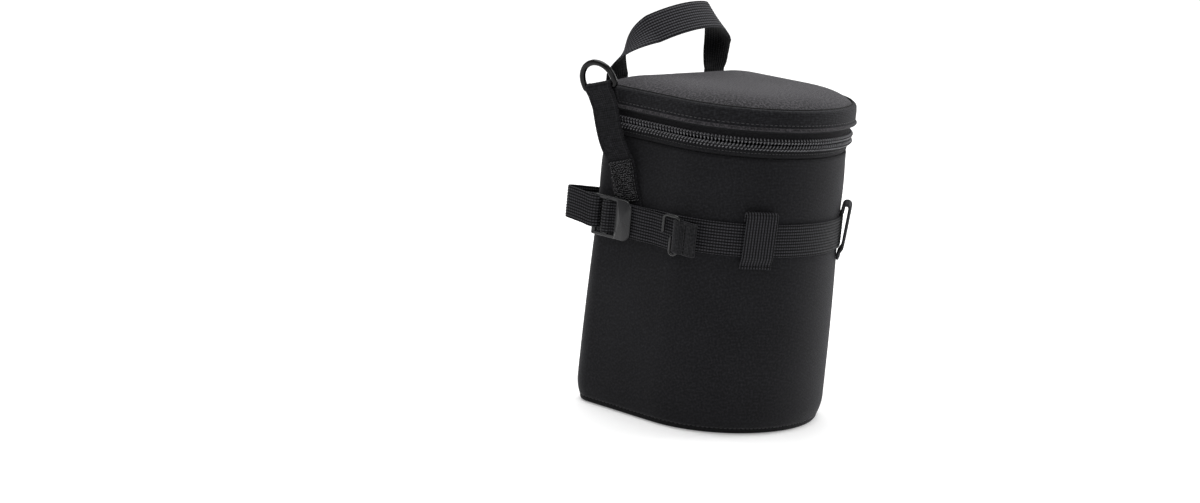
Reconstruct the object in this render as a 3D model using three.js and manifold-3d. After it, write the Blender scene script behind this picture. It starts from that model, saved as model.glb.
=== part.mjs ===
// A padded lens pouch with a zipped lid, a folded webbing handle, a belt strap with a
// ladder-lock buckle, and a webbing tab that carries a D-ring.
// Millimetres, +Z up, front towards -Y, flat back towards +Y. The origin is the middle of the
// base, on the ground.
import * as THREE from "three";
import { mergeVertices } from "three/addons/utils/BufferGeometryUtils.js";
import Module from "manifold-3d";

const wasm = await Module();
wasm.setup();

// Plan of the body where it meets the ground
const HALF_WIDTH = 70;
const FRONT_DEPTH = 60;
const BACK_DEPTH = 68;
const BACK_CORNER = 16;

// Height of the rim, how far the wall leans in from the ground to it, and the heights of the zip
// line over the rim, the lid's edge over the zip line, and the lid's own side; then how far the lid
// stands out, how its top is crowned, and the bevel of the top's edge
const RIM = 169.5;
const RIM_INSET = 2.8;
const ZIP_RISE = 8.9;
const LID_RISE = 8.6;
const LID_BAND = 12.5;
const LID_OVERHANG = 3;
const LID_CROWN = 4.2;
const CROWN_FLATNESS = 4;
const LID_BEVEL = 0.9;

// Layers of the padded wall, and the gap that keeps neighbours apart
const FABRIC = 1.2;
const FOAM = 6;
const LINING = 0.8;
const BASE_PLATE = 1.6;
const BASE_FOAM = 6;
const LID_FOAM = 6;
const SEAM_ALLOWANCE = 8.5;
const CLEAR = 0.3;

// How far the wall tucks in at the ground, and the height where that begins
const BASE_TUCK = 4;
const TUCK_HEIGHT = 14;

// Bound seam round the base
const BINDING_LIFT = 0.4;
const BINDING_HEIGHT = 3.8;
const BINDING_DEPTH = 2.2;
const BINDING_PROUD = 1;

// Coil zip: the chain's two halves lie above and below the zip line
const COIL_HEIGHT = 3.2;
const COIL_THICK = 2.4;
const COIL_SETBACK = 0.4;
const CHAIN_GAP = 1.2;
const TAPE_THICK = 0.9;
const TAPE_LAP = 0.4;
const HINGE_INSET = 22;

// Zip slider and pull, parked on the right side
const SLIDER_FROM_BACK = 28;
const SLIDER_LENGTH = 13;
const SLIDER_HEIGHT = 9;
const SLIDER_PLATE = 1.2;
const POST_LENGTH = 3;
const POST_THICK = 0.6;
const BAIL_WIRE = 0.7;
const BAIL_LENGTH = 7;
const BAIL_REACH = 3.2;
const PULL_WIDTH = 6;
const PULL_LENGTH = 24;
const PULL_THICK = 1.3;
const PULL_EYE = 2.1;

// Webbing
const WEB = 20;
const WEB_THICK = 1.6;
const BAND_BELOW_RIM = 49.2;

// Handle: how the webbing rises from its sewn ends, folds over and arches
const HANDLE_INSET = 22;
const HANDLE_SEWN = 11.9;
const HANDLE_LIFT = 0.4;
const FLEX_GAP = 1.6;
const HANDLE_RISE = 2.5;
const FOLD_ANGLE = 36.3;
const FOLD_RADIUS = 10.5;

// Vertical loops that hold the strap on the front, and the wide belt loop on the back. Their ends
// are below and above the middle of the strap.
const LOOP_ANGLE = 127.4;
const LOOP_BELOW = 17.3;
const LOOP_ABOVE = 17.2;
const LOOP_BULGE = 5.4;
const BELT_LOOP_WIDTH = 50;
const BELT_LOOP_BELOW = 62.3;
const BELT_LOOP_ABOVE = 31.7;
const BELT_GAP = 6;
const BELT_LOOP_SEWN = 11;

// Ladder-lock buckle on the left side
const BUCKLE_FROM_BACK = 23.5;
const BUCKLE_CORNER = 1.5;
const BUCKLE_EDGE = 0.5;
const BAR_LENGTH = 3;
const BAR_THICK = 2.6;
const REAR_BAR_PITCH = 9.5;
const RAIL_WIDTH = 2.3;
const LIP_GAP = 5.1;
const LIP_LENGTH = 14.4;
const LIP_THICK = 2.2;
const LIP_CORNER = 5.5;

// Strap: where it leaves the back wall for its slack round the corner, how far it stands off and
// rises there, and the flap of its sewn end
const STRAP_BACK_INSET = 34;
const STRAP_SLACK = 12.4;
const STRAP_RISE = 4.2;
const STRAP_FLAP = 7.7;

// Strap tail with its folded end and the wire clip held in the fold
const TAIL_END_Y = -23;
const TAIL_DROOP = 2.5;
const HEM_LENGTH = 7;
const CLIP_WIRE = 1;
const CLIP_LEG_Y = -11;
const CLIP_REACH = 11.6;
const CLIP_SHORT_REACH = 5.4;

// D-ring tab on the left side, leaning back along the wall and outwards above it
const TAB_FROM_BACK = 35;
const TAB_OVER_BAND = 10.7;
const TAB_LEAN = 17.3;
const TAB_BELOW = 13;
const TAB_SEWN = 26;
const TAB_FLARE = 20;
const TAB_BEND = 40;
const TAB_LENGTH = 70.5;
const TAB_FOLD = 12;
const PATCH_START = 2.4;
const PATCH_LENGTH = 24;
const PATCH_THICK = 1.2;
const RING_WIRE = 1.6;
const RING_SHOULDER = 4;

// Facets
const CORNER_STEPS = 5;
const FRONT_STEPS = 26;
const SIDE_STEPS = 3;
const WIRE_SIDES = 8;
const EYE_SIDES = 16;
const FOLD_STEPS = 14;
const ARCH_STEPS = 7;
const SLACK_STEPS = 22;
const WRAP_STEPS = 9;
const BEND_STEPS = 6;
const LID_RINGS = [0.2, 0.55, 0.8, 0.93, 1];

// Offsets outwards from the plan on the ground
const wallAt = (z) => (-RIM_INSET * z) / RIM - BASE_TUCK * Math.max(0, 1 - z / TUCK_HEIGHT) ** 2;
const LID_OUT = LID_OVERHANG - RIM_INSET;
const COIL_OUT = LID_OUT - COIL_SETBACK;
const TAPE_OUT = COIL_OUT - COIL_THICK - CLEAR;
const TAPE_IN = TAPE_OUT - TAPE_THICK;
const LID_TAPE_OUT = LID_OUT - FABRIC - CLEAR;
const LID_PAD_OUT = LID_TAPE_OUT - TAPE_THICK - CLEAR;
const RIM_TAPE_OUT = wallAt(RIM) - FABRIC - CLEAR;
const LINING_OUT = -FABRIC - CLEAR - FOAM - CLEAR;
const BASE_OUT = wallAt(0) - BINDING_DEPTH - CLEAR;

// Places that follow from the plan and the heights
const ZIP_LINE = RIM + ZIP_RISE;
const LID_EDGE = ZIP_LINE + LID_RISE;
const LID_SEAM = LID_EDGE + LID_BAND;
const HANDLE_FLEX = LID_SEAM + HANDLE_LIFT;
const HANDLE_END = HANDLE_FLEX - HANDLE_SEWN;
const HANDLE_HALF = HALF_WIDTH - HANDLE_INSET;
const HINGE_HALF = HALF_WIDTH - HINGE_INSET;
const STRAP_BACK = HALF_WIDTH - STRAP_BACK_INSET;
const SLIDER_Y = BACK_DEPTH - SLIDER_FROM_BACK;
const BUCKLE_Y = BACK_DEPTH - BUCKLE_FROM_BACK;
const TAB_Y = BACK_DEPTH - TAB_FROM_BACK;
const BAND_HEIGHT = RIM - BAND_BELOW_RIM;
const TAB_Z = BAND_HEIGHT + TAB_OVER_BAND;
const LOOP_BOTTOM = BAND_HEIGHT - LOOP_BELOW;
const LOOP_TOP = BAND_HEIGHT + LOOP_ABOVE;
const BELT_LOOP_BOTTOM = BAND_HEIGHT - BELT_LOOP_BELOW;
const BELT_LOOP_TOP = BAND_HEIGHT + BELT_LOOP_ABOVE;

// Heights that follow from the layers
const SHELL_BOTTOM = BINDING_LIFT + BINDING_HEIGHT + CLEAR;
const PAD_TOP = RIM - SEAM_ALLOWANCE;
const BASE_FOAM_BOTTOM = BASE_PLATE + CLEAR;
const FLOOR = BASE_FOAM_BOTTOM + BASE_FOAM + CLEAR;
const LID_PAD_BOTTOM = LID_SEAM - LID_FOAM;
const TUCK_RINGS = [FLOOR, (FLOOR + TUCK_HEIGHT) / 2, TUCK_HEIGHT];

const radians = THREE.MathUtils.degToRad;
const v3 = (x, y, z) => new THREE.Vector3(x, y, z);

// A closed surface from points and triangles, turned the right way out
function closedGeometry(points, triangles) {
  const geometry = new THREE.BufferGeometry().setFromPoints(points);
  let volume = 0;
  for (const [a, b, c] of triangles) {
    volume += points[a].dot(points[b].clone().cross(points[c]));
  }
  const outward = volume < 0 ? triangles.map(([a, b, c]) => [a, c, b]) : triangles;
  geometry.setIndex(outward.flat());
  return geometry;
}

// Triangles that fill one closed ring of points lying nearly flat
function capTriangles(ring) {
  const normal = v3(0, 0, 0);
  ring.forEach((p, i) => normal.add(p.clone().cross(ring[(i + 1) % ring.length])));
  normal.normalize();
  const across = ring[1].clone().sub(ring[0]).normalize();
  const up = normal.clone().cross(across);
  const flat = ring.map((p) => new THREE.Vector2(p.dot(across), p.dot(up)));
  return THREE.ShapeUtils.triangulateShape(flat, []);
}

// A solid through rings of equal length. A closed loft joins its last ring to its first.
function loft(rings, closed = false) {
  const size = rings[0].length;
  const triangles = [];
  const spans = closed ? rings.length : rings.length - 1;
  for (let i = 0; i < spans; i++) {
    const here = i * size;
    const next = ((i + 1) % rings.length) * size;
    for (let j = 0; j < size; j++) {
      const k = (j + 1) % size;
      triangles.push([here + j, next + j, next + k], [here + j, next + k, here + k]);
    }
  }
  if (!closed) {
    const last = (rings.length - 1) * size;
    for (const [a, b, c] of capTriangles(rings[0])) {
      triangles.push([a, b, c]);
    }
    for (const [a, b, c] of capTriangles(rings[rings.length - 1])) {
      triangles.push([last + a, last + c, last + b]);
    }
  }
  return closedGeometry(rings.flat(), triangles);
}

// Stations round the plan, counter-clockwise from the back at x = -backHalf to x = +backHalf.
// Each has its point on the plan and its outward normal.
function planPath(backHalf) {
  const left = [];
  const straight = HALF_WIDTH - BACK_CORNER;
  const sideEnd = BACK_DEPTH - BACK_CORNER;
  left.push({ x: -backHalf, y: BACK_DEPTH, nx: 0, ny: 1 });
  for (let i = 0; i < CORNER_STEPS; i++) {
    const turn = (Math.PI / 2) * (i / CORNER_STEPS);
    const nx = -Math.sin(turn);
    const ny = Math.cos(turn);
    left.push({ x: -straight + BACK_CORNER * nx, y: sideEnd + BACK_CORNER * ny, nx, ny });
  }
  for (let i = 0; i < SIDE_STEPS; i++) {
    left.push({ x: -HALF_WIDTH, y: sideEnd * (1 - i / SIDE_STEPS), nx: -1, ny: 0 });
  }
  for (let i = 0; i < FRONT_STEPS / 2; i++) {
    left.push(frontStation(180 + (180 * i) / FRONT_STEPS));
  }
  const right = left.map((s) => ({ x: -s.x, y: s.y, nx: -s.nx, ny: s.ny })).reverse();
  return [...left, frontStation(270), ...right];
}

// A station on the half ellipse of the front, by its angle round the plan
function frontStation(degrees) {
  const x = HALF_WIDTH * Math.cos(radians(degrees));
  const y = FRONT_DEPTH * Math.sin(radians(degrees));
  const normal = new THREE.Vector2(x / HALF_WIDTH ** 2, y / FRONT_DEPTH ** 2).normalize();
  return { x, y, nx: normal.x, ny: normal.y };
}

const WHOLE_PLAN = planPath(0).slice(1);
const onStation = (s, out, z) => v3(s.x + s.nx * out, s.y + s.ny * out, z);
const planRing = (out, z) => WHOLE_PLAN.map((s) => onStation(s, out, z));
const shrunkRing = (out, z, share) => planRing(out, z).map((p) => v3(p.x * share, p.y * share, z));

// A profile of [offset outwards, height] points carried round the whole plan, or along part of it
const hoop = (profile) => loft(profile.map(([out, z]) => planRing(out, z)), true);
const strip = (profile, path) => loft(path.map((s) => profile.map(([out, z]) => onStation(s, out, z))));

// A flat band of webbing along centre points, with a width direction at each
function ribbon(centres, widths, width = WEB, thick = WEB_THICK) {
  const rings = centres.map((centre, i) => {
    const before = centres[Math.max(i - 1, 0)];
    const after = centres[Math.min(i + 1, centres.length - 1)];
    const along = after.clone().sub(before).normalize();
    const face = along.clone().cross(widths[i]).normalize().multiplyScalar(thick / 2);
    const half = widths[i].clone().multiplyScalar(width / 2);
    const corner = (a, b) => centre.clone().addScaledVector(half, a).addScaledVector(face, b);
    return [corner(1, 1), corner(1, -1), corner(-1, -1), corner(-1, 1)];
  });
  return loft(rings);
}

// A round wire along points that lie in one plane
function wire(points, planeNormal, radius, closed) {
  const rings = points.map((point, i) => {
    const count = points.length;
    const before = closed ? points[(i + count - 1) % count] : points[Math.max(i - 1, 0)];
    const after = closed ? points[(i + 1) % count] : points[Math.min(i + 1, count - 1)];
    const side = after.clone().sub(before).normalize().cross(planeNormal);
    return Array.from({ length: WIRE_SIDES }, (_, k) => {
      const turn = (2 * Math.PI * k) / WIRE_SIDES;
      const out = side.clone().multiplyScalar(radius * Math.cos(turn));
      return point.clone().add(out).addScaledVector(planeNormal, radius * Math.sin(turn));
    });
  });
  return loft(rings, closed);
}

// Points on a circle in a plane, from one angle to another
function arc(cx, cy, radius, from, to, steps) {
  return Array.from({ length: steps + 1 }, (_, i) => {
    const turn = radians(from + ((to - from) * i) / steps);
    return [cx + radius * Math.cos(turn), cy + radius * Math.sin(turn)];
  });
}

// A plate of one outline, raised to a height and given a thickness
function plate(outline, bottom, thick) {
  const shape = new THREE.Shape(outline.map(([x, y]) => new THREE.Vector2(x, y)));
  const geometry = new THREE.ExtrudeGeometry(shape, { depth: thick, bevelEnabled: false });
  return geometry.translate(0, 0, bottom);
}

// A rectangle with round corners, each corner with its own radius, from the lower left on
function roundedRectangle(x0, x1, y0, y1, radii) {
  const corners = [[x0, y0, 180, 1, 1], [x1, y0, 270, -1, 1], [x1, y1, 0, -1, -1], [x0, y1, 90, 1, -1]];
  return corners.flatMap(([x, y, from, sx, sy], i) => {
    const r = radii[i];
    return arc(x + sx * r, y + sy * r, r, from, from + 90, CORNER_STEPS);
  });
}

function toManifold(geometry) {
  const bare = new THREE.BufferGeometry();
  bare.setAttribute("position", geometry.getAttribute("position"));
  bare.setIndex(geometry.getIndex());
  const merged = mergeVertices(bare, 1e-4);
  const vertProperties = new Float32Array(merged.getAttribute("position").array);
  const triVerts = new Uint32Array(merged.getIndex().array);
  return new wasm.Manifold(new wasm.Mesh({ numProp: 3, vertProperties, triVerts }));
}

function fromManifold(solid) {
  const mesh = solid.getMesh();
  const geometry = new THREE.BufferGeometry();
  geometry.setAttribute("position", new THREE.BufferAttribute(mesh.vertProperties, 3));
  geometry.setIndex(new THREE.BufferAttribute(mesh.triVerts, 1));
  return geometry;
}

const joined = (pieces) => fromManifold(pieces.map(toManifold).reduce((a, b) => a.add(b)));
const cut = (piece, tools) => {
  const rest = tools.map(toManifold).reduce((whole, tool) => whole.subtract(tool), toManifold(piece));
  return fromManifold(rest);
};

const material = (color, roughness, metalness = 0) =>
  new THREE.MeshStandardMaterial({ color, roughness, metalness });
const MATERIALS = {
  fabric: material(0x232326, 0.9),
  foam: material(0x3a3a3c, 0.95),
  lining: material(0x55575a, 0.85),
  webbing: material(0x1d1d1f, 0.8),
  tape: material(0x19191a, 0.85),
  coil: material(0x2a2a2b, 0.45),
  hook: material(0x2b2b2d, 0.95),
  plastic: material(0x3b3b3d, 0.4),
  blackMetal: material(0x202022, 0.25, 0.9),
};

const pouch = new THREE.Group();

function add(name, geometry, look, parent = pouch) {
  const mesh = new THREE.Mesh(geometry, MATERIALS[look]);
  mesh.name = name;
  parent.add(mesh);
}

// Body wall and base
function addBody() {
  const layer = (near, far, bottom, top) => {
    const heights = [bottom, ...TUCK_RINGS.filter((z) => z > bottom), top];
    const outer = heights.map((z) => [wallAt(z) - near, z]);
    const inner = heights.map((z) => [wallAt(z) - far, z]);
    return [...outer, ...inner.reverse()];
  };
  add("outer_shell", hoop(layer(0, FABRIC, SHELL_BOTTOM, RIM)), "fabric");
  const padNear = FABRIC + CLEAR;
  add("wall_padding", hoop(layer(padNear, padNear + FOAM, FLOOR, PAD_TOP)), "foam");
  const cup = layer(-LINING_OUT, LINING - LINING_OUT, FLOOR, PAD_TOP);
  cup[cup.length - 1][1] = FLOOR + LINING;
  add("inner_lining", loft(cup.map(([out, z]) => planRing(out, z))), "lining");

  add("base_panel", loft([planRing(BASE_OUT, 0), planRing(BASE_OUT, BASE_PLATE)]), "fabric");
  const foamTop = BASE_FOAM_BOTTOM + BASE_FOAM;
  add("base_padding", loft([planRing(BASE_OUT, BASE_FOAM_BOTTOM), planRing(BASE_OUT, foamTop)]), "foam");
  const seam = wallAt(0);
  const bead = roundedRectangle(
    seam - BINDING_DEPTH,
    seam + BINDING_PROUD,
    BINDING_LIFT,
    BINDING_LIFT + BINDING_HEIGHT,
    [BINDING_PROUD / 2, BINDING_PROUD, BINDING_PROUD, BINDING_PROUD / 2],
  );
  add("base_binding", hoop(bead.filter((_, i) => i % 2 === 0)), "tape");
}

// Rounded trim that closes the top of the padded wall, inside the zip tape
function addRimBinding() {
  const near = RIM_TAPE_OUT - TAPE_THICK - CLEAR;
  const far = wallAt(RIM) + LINING_OUT - LINING;
  const bottom = PAD_TOP + CLEAR;
  const round = (near - far) / 3;
  const profile = [
    [near, bottom],
    [near, RIM - round],
    [near - round, RIM],
    [far + round, RIM],
    [far, RIM - round],
    [far, bottom],
  ];
  add("rim_binding", hoop(profile), "tape");
}

// Zip tapes and the hinge strips that take their place across the back. Each is sewn behind the
// edge of the body or the lid, and steps out to the plane of the zip.
function lowerStrip(top) {
  const step = RIM + CLEAR;
  const rise = TAPE_OUT - RIM_TAPE_OUT;
  return [
    [RIM_TAPE_OUT, PAD_TOP + 2 * CLEAR],
    [RIM_TAPE_OUT, step],
    [TAPE_OUT, step + rise],
    [TAPE_OUT, top],
    [TAPE_IN, top],
    [TAPE_IN, step + rise + CLEAR],
    [RIM_TAPE_OUT - TAPE_THICK, step + CLEAR],
    [RIM_TAPE_OUT - TAPE_THICK, PAD_TOP + 2 * CLEAR],
  ];
}

function upperStrip(bottom) {
  const step = LID_EDGE - CLEAR;
  const rise = LID_TAPE_OUT - TAPE_OUT;
  const top = LID_SEAM - CLEAR * 2;
  return [
    [LID_TAPE_OUT, top],
    [LID_TAPE_OUT, step],
    [TAPE_OUT, step - rise],
    [TAPE_OUT, bottom],
    [TAPE_IN, bottom],
    [TAPE_IN, step - rise + CLEAR],
    [LID_TAPE_OUT - TAPE_THICK, step + CLEAR],
    [LID_TAPE_OUT - TAPE_THICK, top],
  ];
}

function addZip() {
  const path = planPath(HINGE_HALF);
  const edge = CHAIN_GAP / 2;
  add("zip_tape_lower", strip(lowerStrip(ZIP_LINE - edge - TAPE_LAP), path), "tape");
  add("zip_tape_upper", strip(upperStrip(ZIP_LINE + edge + TAPE_LAP), path), "tape");
  const bead = (middle) => {
    const circle = arc(0, 0, 1, 0, 360, WIRE_SIDES).slice(1);
    return circle.map(([x, y]) => [
      COIL_OUT - (COIL_THICK / 2) * (1 - x),
      middle + (COIL_HEIGHT / 2) * y,
    ]);
  };
  const offset = edge + COIL_HEIGHT / 2;
  add("zip_coil_lower", strip(bead(ZIP_LINE - offset), path), "coil");
  add("zip_coil_upper", strip(bead(ZIP_LINE + offset), path), "coil");

  const backEnds = [HINGE_HALF - CLEAR, CLEAR - HINGE_HALF];
  const backPath = backEnds.map((x) => ({ x, y: BACK_DEPTH, nx: 0, ny: 1 }));
  add("hinge_strip_lower", strip(lowerStrip(ZIP_LINE - CLEAR), backPath), "tape");
  add("hinge_strip_upper", strip(upperStrip(ZIP_LINE + CLEAR), backPath), "tape");
}

// Lid: a band round its side, a crowned top, foam under it and a lining with a short skirt
function addLid() {
  const bandIn = LID_OUT - FABRIC;
  const band = [[LID_OUT, LID_EDGE], [LID_OUT, LID_SEAM], [bandIn, LID_SEAM], [bandIn, LID_EDGE]];
  add("lid_band", hoop(band), "fabric");

  const crown = (share) => LID_CROWN * (1 - share ** CROWN_FLATNESS);
  const seat = LID_SEAM + CLEAR;
  const under = LID_RINGS.map((share) => shrunkRing(LID_OUT, seat + crown(share), share));
  const edge = planRing(LID_OUT, seat + FABRIC - LID_BEVEL);
  const overOut = LID_OUT - LID_BEVEL;
  const over = LID_RINGS.map((share) => shrunkRing(overOut, seat + FABRIC + crown(share), share));
  add("lid_top", loft([...under, edge, ...over.reverse()]), "fabric");

  const foamTop = LID_RINGS.map((share) => shrunkRing(LID_PAD_OUT, LID_SEAM + crown(share), share));
  add("lid_padding", loft([planRing(LID_PAD_OUT, LID_PAD_BOTTOM), ...foamTop.reverse()]), "foam");

  const ceiling = LID_PAD_BOTTOM - CLEAR;
  const skirt = LID_EDGE + 2 * CLEAR;
  const cap = [
    planRing(LID_PAD_OUT, ceiling),
    planRing(LID_PAD_OUT, skirt),
    planRing(LID_PAD_OUT - LINING, skirt),
    planRing(LID_PAD_OUT - LINING, ceiling - LINING),
  ];
  add("lid_lining", loft(cap), "lining");
}

// Slider with a plate on each face of the chain, joined by a thin post through it, and its pull.
// In this group X runs to the back, Y up and Z out of the right side.
function addSlider() {
  const side = new THREE.Group();
  side.position.set(HALF_WIDTH, SLIDER_Y, ZIP_LINE);
  side.quaternion.setFromRotationMatrix(
    new THREE.Matrix4().makeBasis(v3(0, 1, 0), v3(0, 0, 1), v3(1, 0, 0)),
  );
  pouch.add(side);

  const nose = SLIDER_LENGTH / 2;
  const waist = SLIDER_HEIGHT / 4;
  const half = SLIDER_HEIGHT / 2;
  const outline = [[-nose, -half], [0, -half], [nose, -waist], [nose, waist], [0, half], [-nose, half]];
  const outer = COIL_OUT + CLEAR;
  const inner = TAPE_IN - CLEAR - SLIDER_PLATE;
  const top = outer + SLIDER_PLATE;
  const bar = BAIL_LENGTH / 2;
  const bail = [v3(-bar, 0, top - BAIL_WIRE), v3(-bar, 0, top + BAIL_REACH - BAIL_WIRE)];
  bail.push(v3(BAIL_WIRE - bar, 0, top + BAIL_REACH), v3(bar - BAIL_WIRE, 0, top + BAIL_REACH));
  bail.push(v3(bar, 0, top + BAIL_REACH - BAIL_WIRE), v3(bar, 0, top - BAIL_WIRE));
  const post = new THREE.BoxGeometry(POST_LENGTH, POST_THICK, top - inner);
  post.translate(POST_LENGTH / 2 - nose, 0, (top + inner) / 2);
  const pieces = [plate(outline, outer, SLIDER_PLATE), plate(outline, inner, SLIDER_PLATE)];
  pieces.push(post, wire(bail, v3(0, 1, 0), BAIL_WIRE, false));
  add("zip_slider", joined(pieces), "blackMetal", side);

  const pull = new THREE.Group();
  pull.position.set(0, 0, top + BAIL_REACH);
  side.add(pull);
  const eyeHole = BAIL_WIRE + CLEAR;
  const roller = (radius, length) =>
    new THREE.CylinderGeometry(radius, radius, length, EYE_SIDES).rotateZ(Math.PI / 2);
  const eye = roller(PULL_EYE, PULL_WIDTH / 2);
  const hole = roller(eyeHole, PULL_WIDTH);
  const tip = PULL_WIDTH / 2;
  const neck = PULL_WIDTH / 4;
  const leaf = [[-neck, -eyeHole], [-neck, -2 * PULL_EYE], [-tip, tip - PULL_LENGTH]];
  leaf.push(...arc(0, tip - PULL_LENGTH, tip, 180, 360, 2 * CORNER_STEPS).slice(1));
  leaf.push([neck, -2 * PULL_EYE], [neck, -eyeHole]);
  const body = joined([eye, plate(leaf, -PULL_THICK / 2, PULL_THICK)]);
  add("zip_pull", cut(body, [hole]), "blackMetal", pull);
}

// Handle: an unstretched band of webbing. From each sewn end it rises, rolls over a slanting fold
// until its width no longer points sideways, and arches across to the other end.
function addHandle() {
  const y = BACK_DEPTH + LID_OUT + CLEAR + WEB_THICK / 2;
  const endTop = HANDLE_FLEX - FLEX_GAP / 2;
  for (const [name, x] of [["handle_end_left", -HANDLE_HALF], ["handle_end_right", HANDLE_HALF]]) {
    const ends = [v3(x, y, HANDLE_END), v3(x, y, endTop)];
    add(name, ribbon(ends, ends.map(() => v3(1, 0, 0))), "webbing");
  }

  const slant = radians(FOLD_ANGLE);
  const foldAxis = v3(Math.sin(slant), 0, Math.cos(slant));
  const foldTurn = Math.acos(-(Math.tan(slant) ** 2));
  const centres = [v3(-HANDLE_HALF, y, HANDLE_FLEX + FLEX_GAP / 2)];
  const widths = [v3(-1, 0, 0)];
  const along = v3(0, 0, 1);
  const across = v3(-1, 0, 0);
  const roll = (axis, turn, length, steps) => {
    for (let i = 0; i < steps; i++) {
      along.applyAxisAngle(axis, turn / steps / 2);
      centres.push(centres[centres.length - 1].clone().addScaledVector(along, length / steps));
      along.applyAxisAngle(axis, turn / steps / 2);
      across.applyAxisAngle(axis, turn / steps);
      widths.push(across.clone());
    }
  };
  roll(foldAxis, 0, HANDLE_RISE, 1);
  roll(foldAxis, foldTurn, (FOLD_RADIUS * foldTurn) / Math.sin(slant), FOLD_STEPS);
  const archTurn = along.angleTo(v3(1, 0, 0));
  const archAxis = along.clone().cross(v3(1, 0, 0)).normalize();
  const archRadius = -centres[centres.length - 1].x / Math.sin(archTurn);
  roll(archAxis, archTurn, archRadius * archTurn, ARCH_STEPS);
  const mirror = (p) => v3(-p.x, p.y, p.z);
  const farCentres = centres.slice(0, -1).reverse().map(mirror);
  const farWidths = widths.slice(0, -1).reverse().map(mirror);
  add("handle", ribbon([...centres, ...farCentres], [...widths, ...farWidths]), "webbing");
}

// Layers of webbing on the left wall, by distance out from the wall at the strap's lower edge
const BAND_LOW = BAND_HEIGHT - WEB / 2;
const WALL_AT_BAND = wallAt(BAND_LOW);
const LAYER = WEB_THICK + CLEAR;
const FIRST = CLEAR + WEB_THICK / 2;
const SECOND = FIRST + LAYER;
const THIRD = SECOND + LAYER;
const WRAP = Math.hypot(BAR_LENGTH, BAR_THICK) / 2 + CLEAR + WEB_THICK / 2;
const BAR_OUT = SECOND + WRAP;
const REAR_BAR_Y = BUCKLE_Y + REAR_BAR_PITCH;
const CLIP_OUT = SECOND + WEB_THICK / 2 + 2 * CLEAR + CLIP_WIRE;
const LIP_FRONT_Y = BUCKLE_Y - LIP_GAP - LIP_LENGTH;

// How far the tail has dropped at a place in front of the buckle
const tailDrop = (y) => TAIL_DROOP * Math.max(0, (LIP_FRONT_Y - y) / (LIP_FRONT_Y - TAIL_END_Y));

// Belt strap: one band of webbing from its folded tail, over the buckle's centre bar and back
// under it, round the body and the slack back corner, to the sewn loop on the rear bar
function addStrap() {
  const tabFront = TAB_Y - WEB / 2 - TAB_BELOW * Math.sin(radians(TAB_LEAN));
  const rampEnd = tabFront - LAYER;
  const rampStart = rampEnd - 4 * LAYER;
  const bump = CLIP_OUT + CLIP_WIRE + CLEAR + WEB_THICK / 2;
  const hemRadius = LAYER / 2;
  const hemY = TAIL_END_Y + hemRadius;
  const hemInner = TAIL_END_Y + HEM_LENGTH;

  // Folded end and tail, as [y, distance out], from the flap's edge over the clip's leg
  const shoulder = 1.7 * CLIP_WIRE;
  const flapEdge = CLIP_LEG_Y + shoulder + WEB_THICK;
  const tail = [[flapEdge, THIRD + CLIP_WIRE / 2], [CLIP_LEG_Y + shoulder, bump - CLIP_WIRE / 2]];
  tail.push([CLIP_LEG_Y, bump], [CLIP_LEG_Y - shoulder, bump - CLIP_WIRE / 2], [hemInner, THIRD]);
  tail.push(...arc(hemY, SECOND + hemRadius, hemRadius, 90, 270, BEND_STEPS));
  tail.push([rampStart, SECOND], [rampEnd, THIRD]);
  const slotEdge = BUCKLE_Y - WRAP;
  tail.push([slotEdge - 2 * WEB_THICK, THIRD], [slotEdge - WEB_THICK / 2, THIRD + WEB_THICK / 3]);
  const wrap = arc(BUCKLE_Y, BAR_OUT, WRAP, 180, -90, WRAP_STEPS).slice(1);
  const under = [[rampEnd, SECOND], [rampStart, FIRST]];

  // Sewn loop on the rear bar
  const rearLoop = arc(REAR_BAR_Y, BAR_OUT, WRAP, 90, 270, BEND_STEPS);
  const flapEnd = REAR_BAR_Y + STRAP_FLAP;
  const flapOut = BAR_OUT + WRAP - LAYER - CLEAR;
  rearLoop.push([flapEnd - WRAP, BAR_OUT - WRAP / 2], [flapEnd, flapOut]);

  const leftWall = ([y, out]) => v3(-HALF_WIDTH - WALL_AT_BAND - out, y, BAND_HEIGHT);
  const droop = (p) => p.setZ(BAND_HEIGHT - tailDrop(p.y));
  const points = [...tail.map(leftWall).map(droop), ...wrap.map(leftWall), ...under.map(leftWall)];
  for (const s of planPath(STRAP_BACK)) {
    const onLeft = s.x < 0 && s.y > rampStart - LAYER;
    if (!onLeft) {
      points.push(onStation(s, WALL_AT_BAND + FIRST, BAND_HEIGHT));
    }
  }

  // Slack round the back corner: it leaves the back wall, swells out to stand off the corner and
  // rise, and comes down to the rear bar
  const backY = BACK_DEPTH + WALL_AT_BAND + FIRST;
  const outX = -HALF_WIDTH - WALL_AT_BAND - BAR_OUT - WRAP;
  const slackAt = (x, share, lift) => v3(x, backY + STRAP_SLACK * share, BAND_HEIGHT + STRAP_RISE * lift);
  const slack = new THREE.CatmullRomCurve3([
    slackAt(-STRAP_BACK, 0, 0),
    slackAt(BACK_CORNER - HALF_WIDTH, 0.42, 0.4),
    slackAt(-HALF_WIDTH, 0.75, 0.8),
    slackAt(outX - CLEAR, 0.62, 1),
    slackAt(outX - 2 * CLEAR, -0.5, 0.6),
    v3(outX, REAR_BAR_Y + WRAP, BAND_HEIGHT),
  ]);
  points.push(...slack.getSpacedPoints(SLACK_STEPS), ...rearLoop.map(leftWall));
  add("belt_strap", ribbon(points, points.map(() => v3(0, 0, 1))), "webbing");
}

// Buckle and clip lie in a group on the left wall: X runs to the front, Y up, Z outwards
function leftGroup(height) {
  const group = new THREE.Group();
  group.position.set(-HALF_WIDTH - WALL_AT_BAND, 0, height);
  group.quaternion.setFromRotationMatrix(
    new THREE.Matrix4().makeBasis(v3(0, -1, 0), v3(0, 0, 1), v3(-1, 0, 0)),
  );
  pouch.add(group);
  return group;
}

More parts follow.
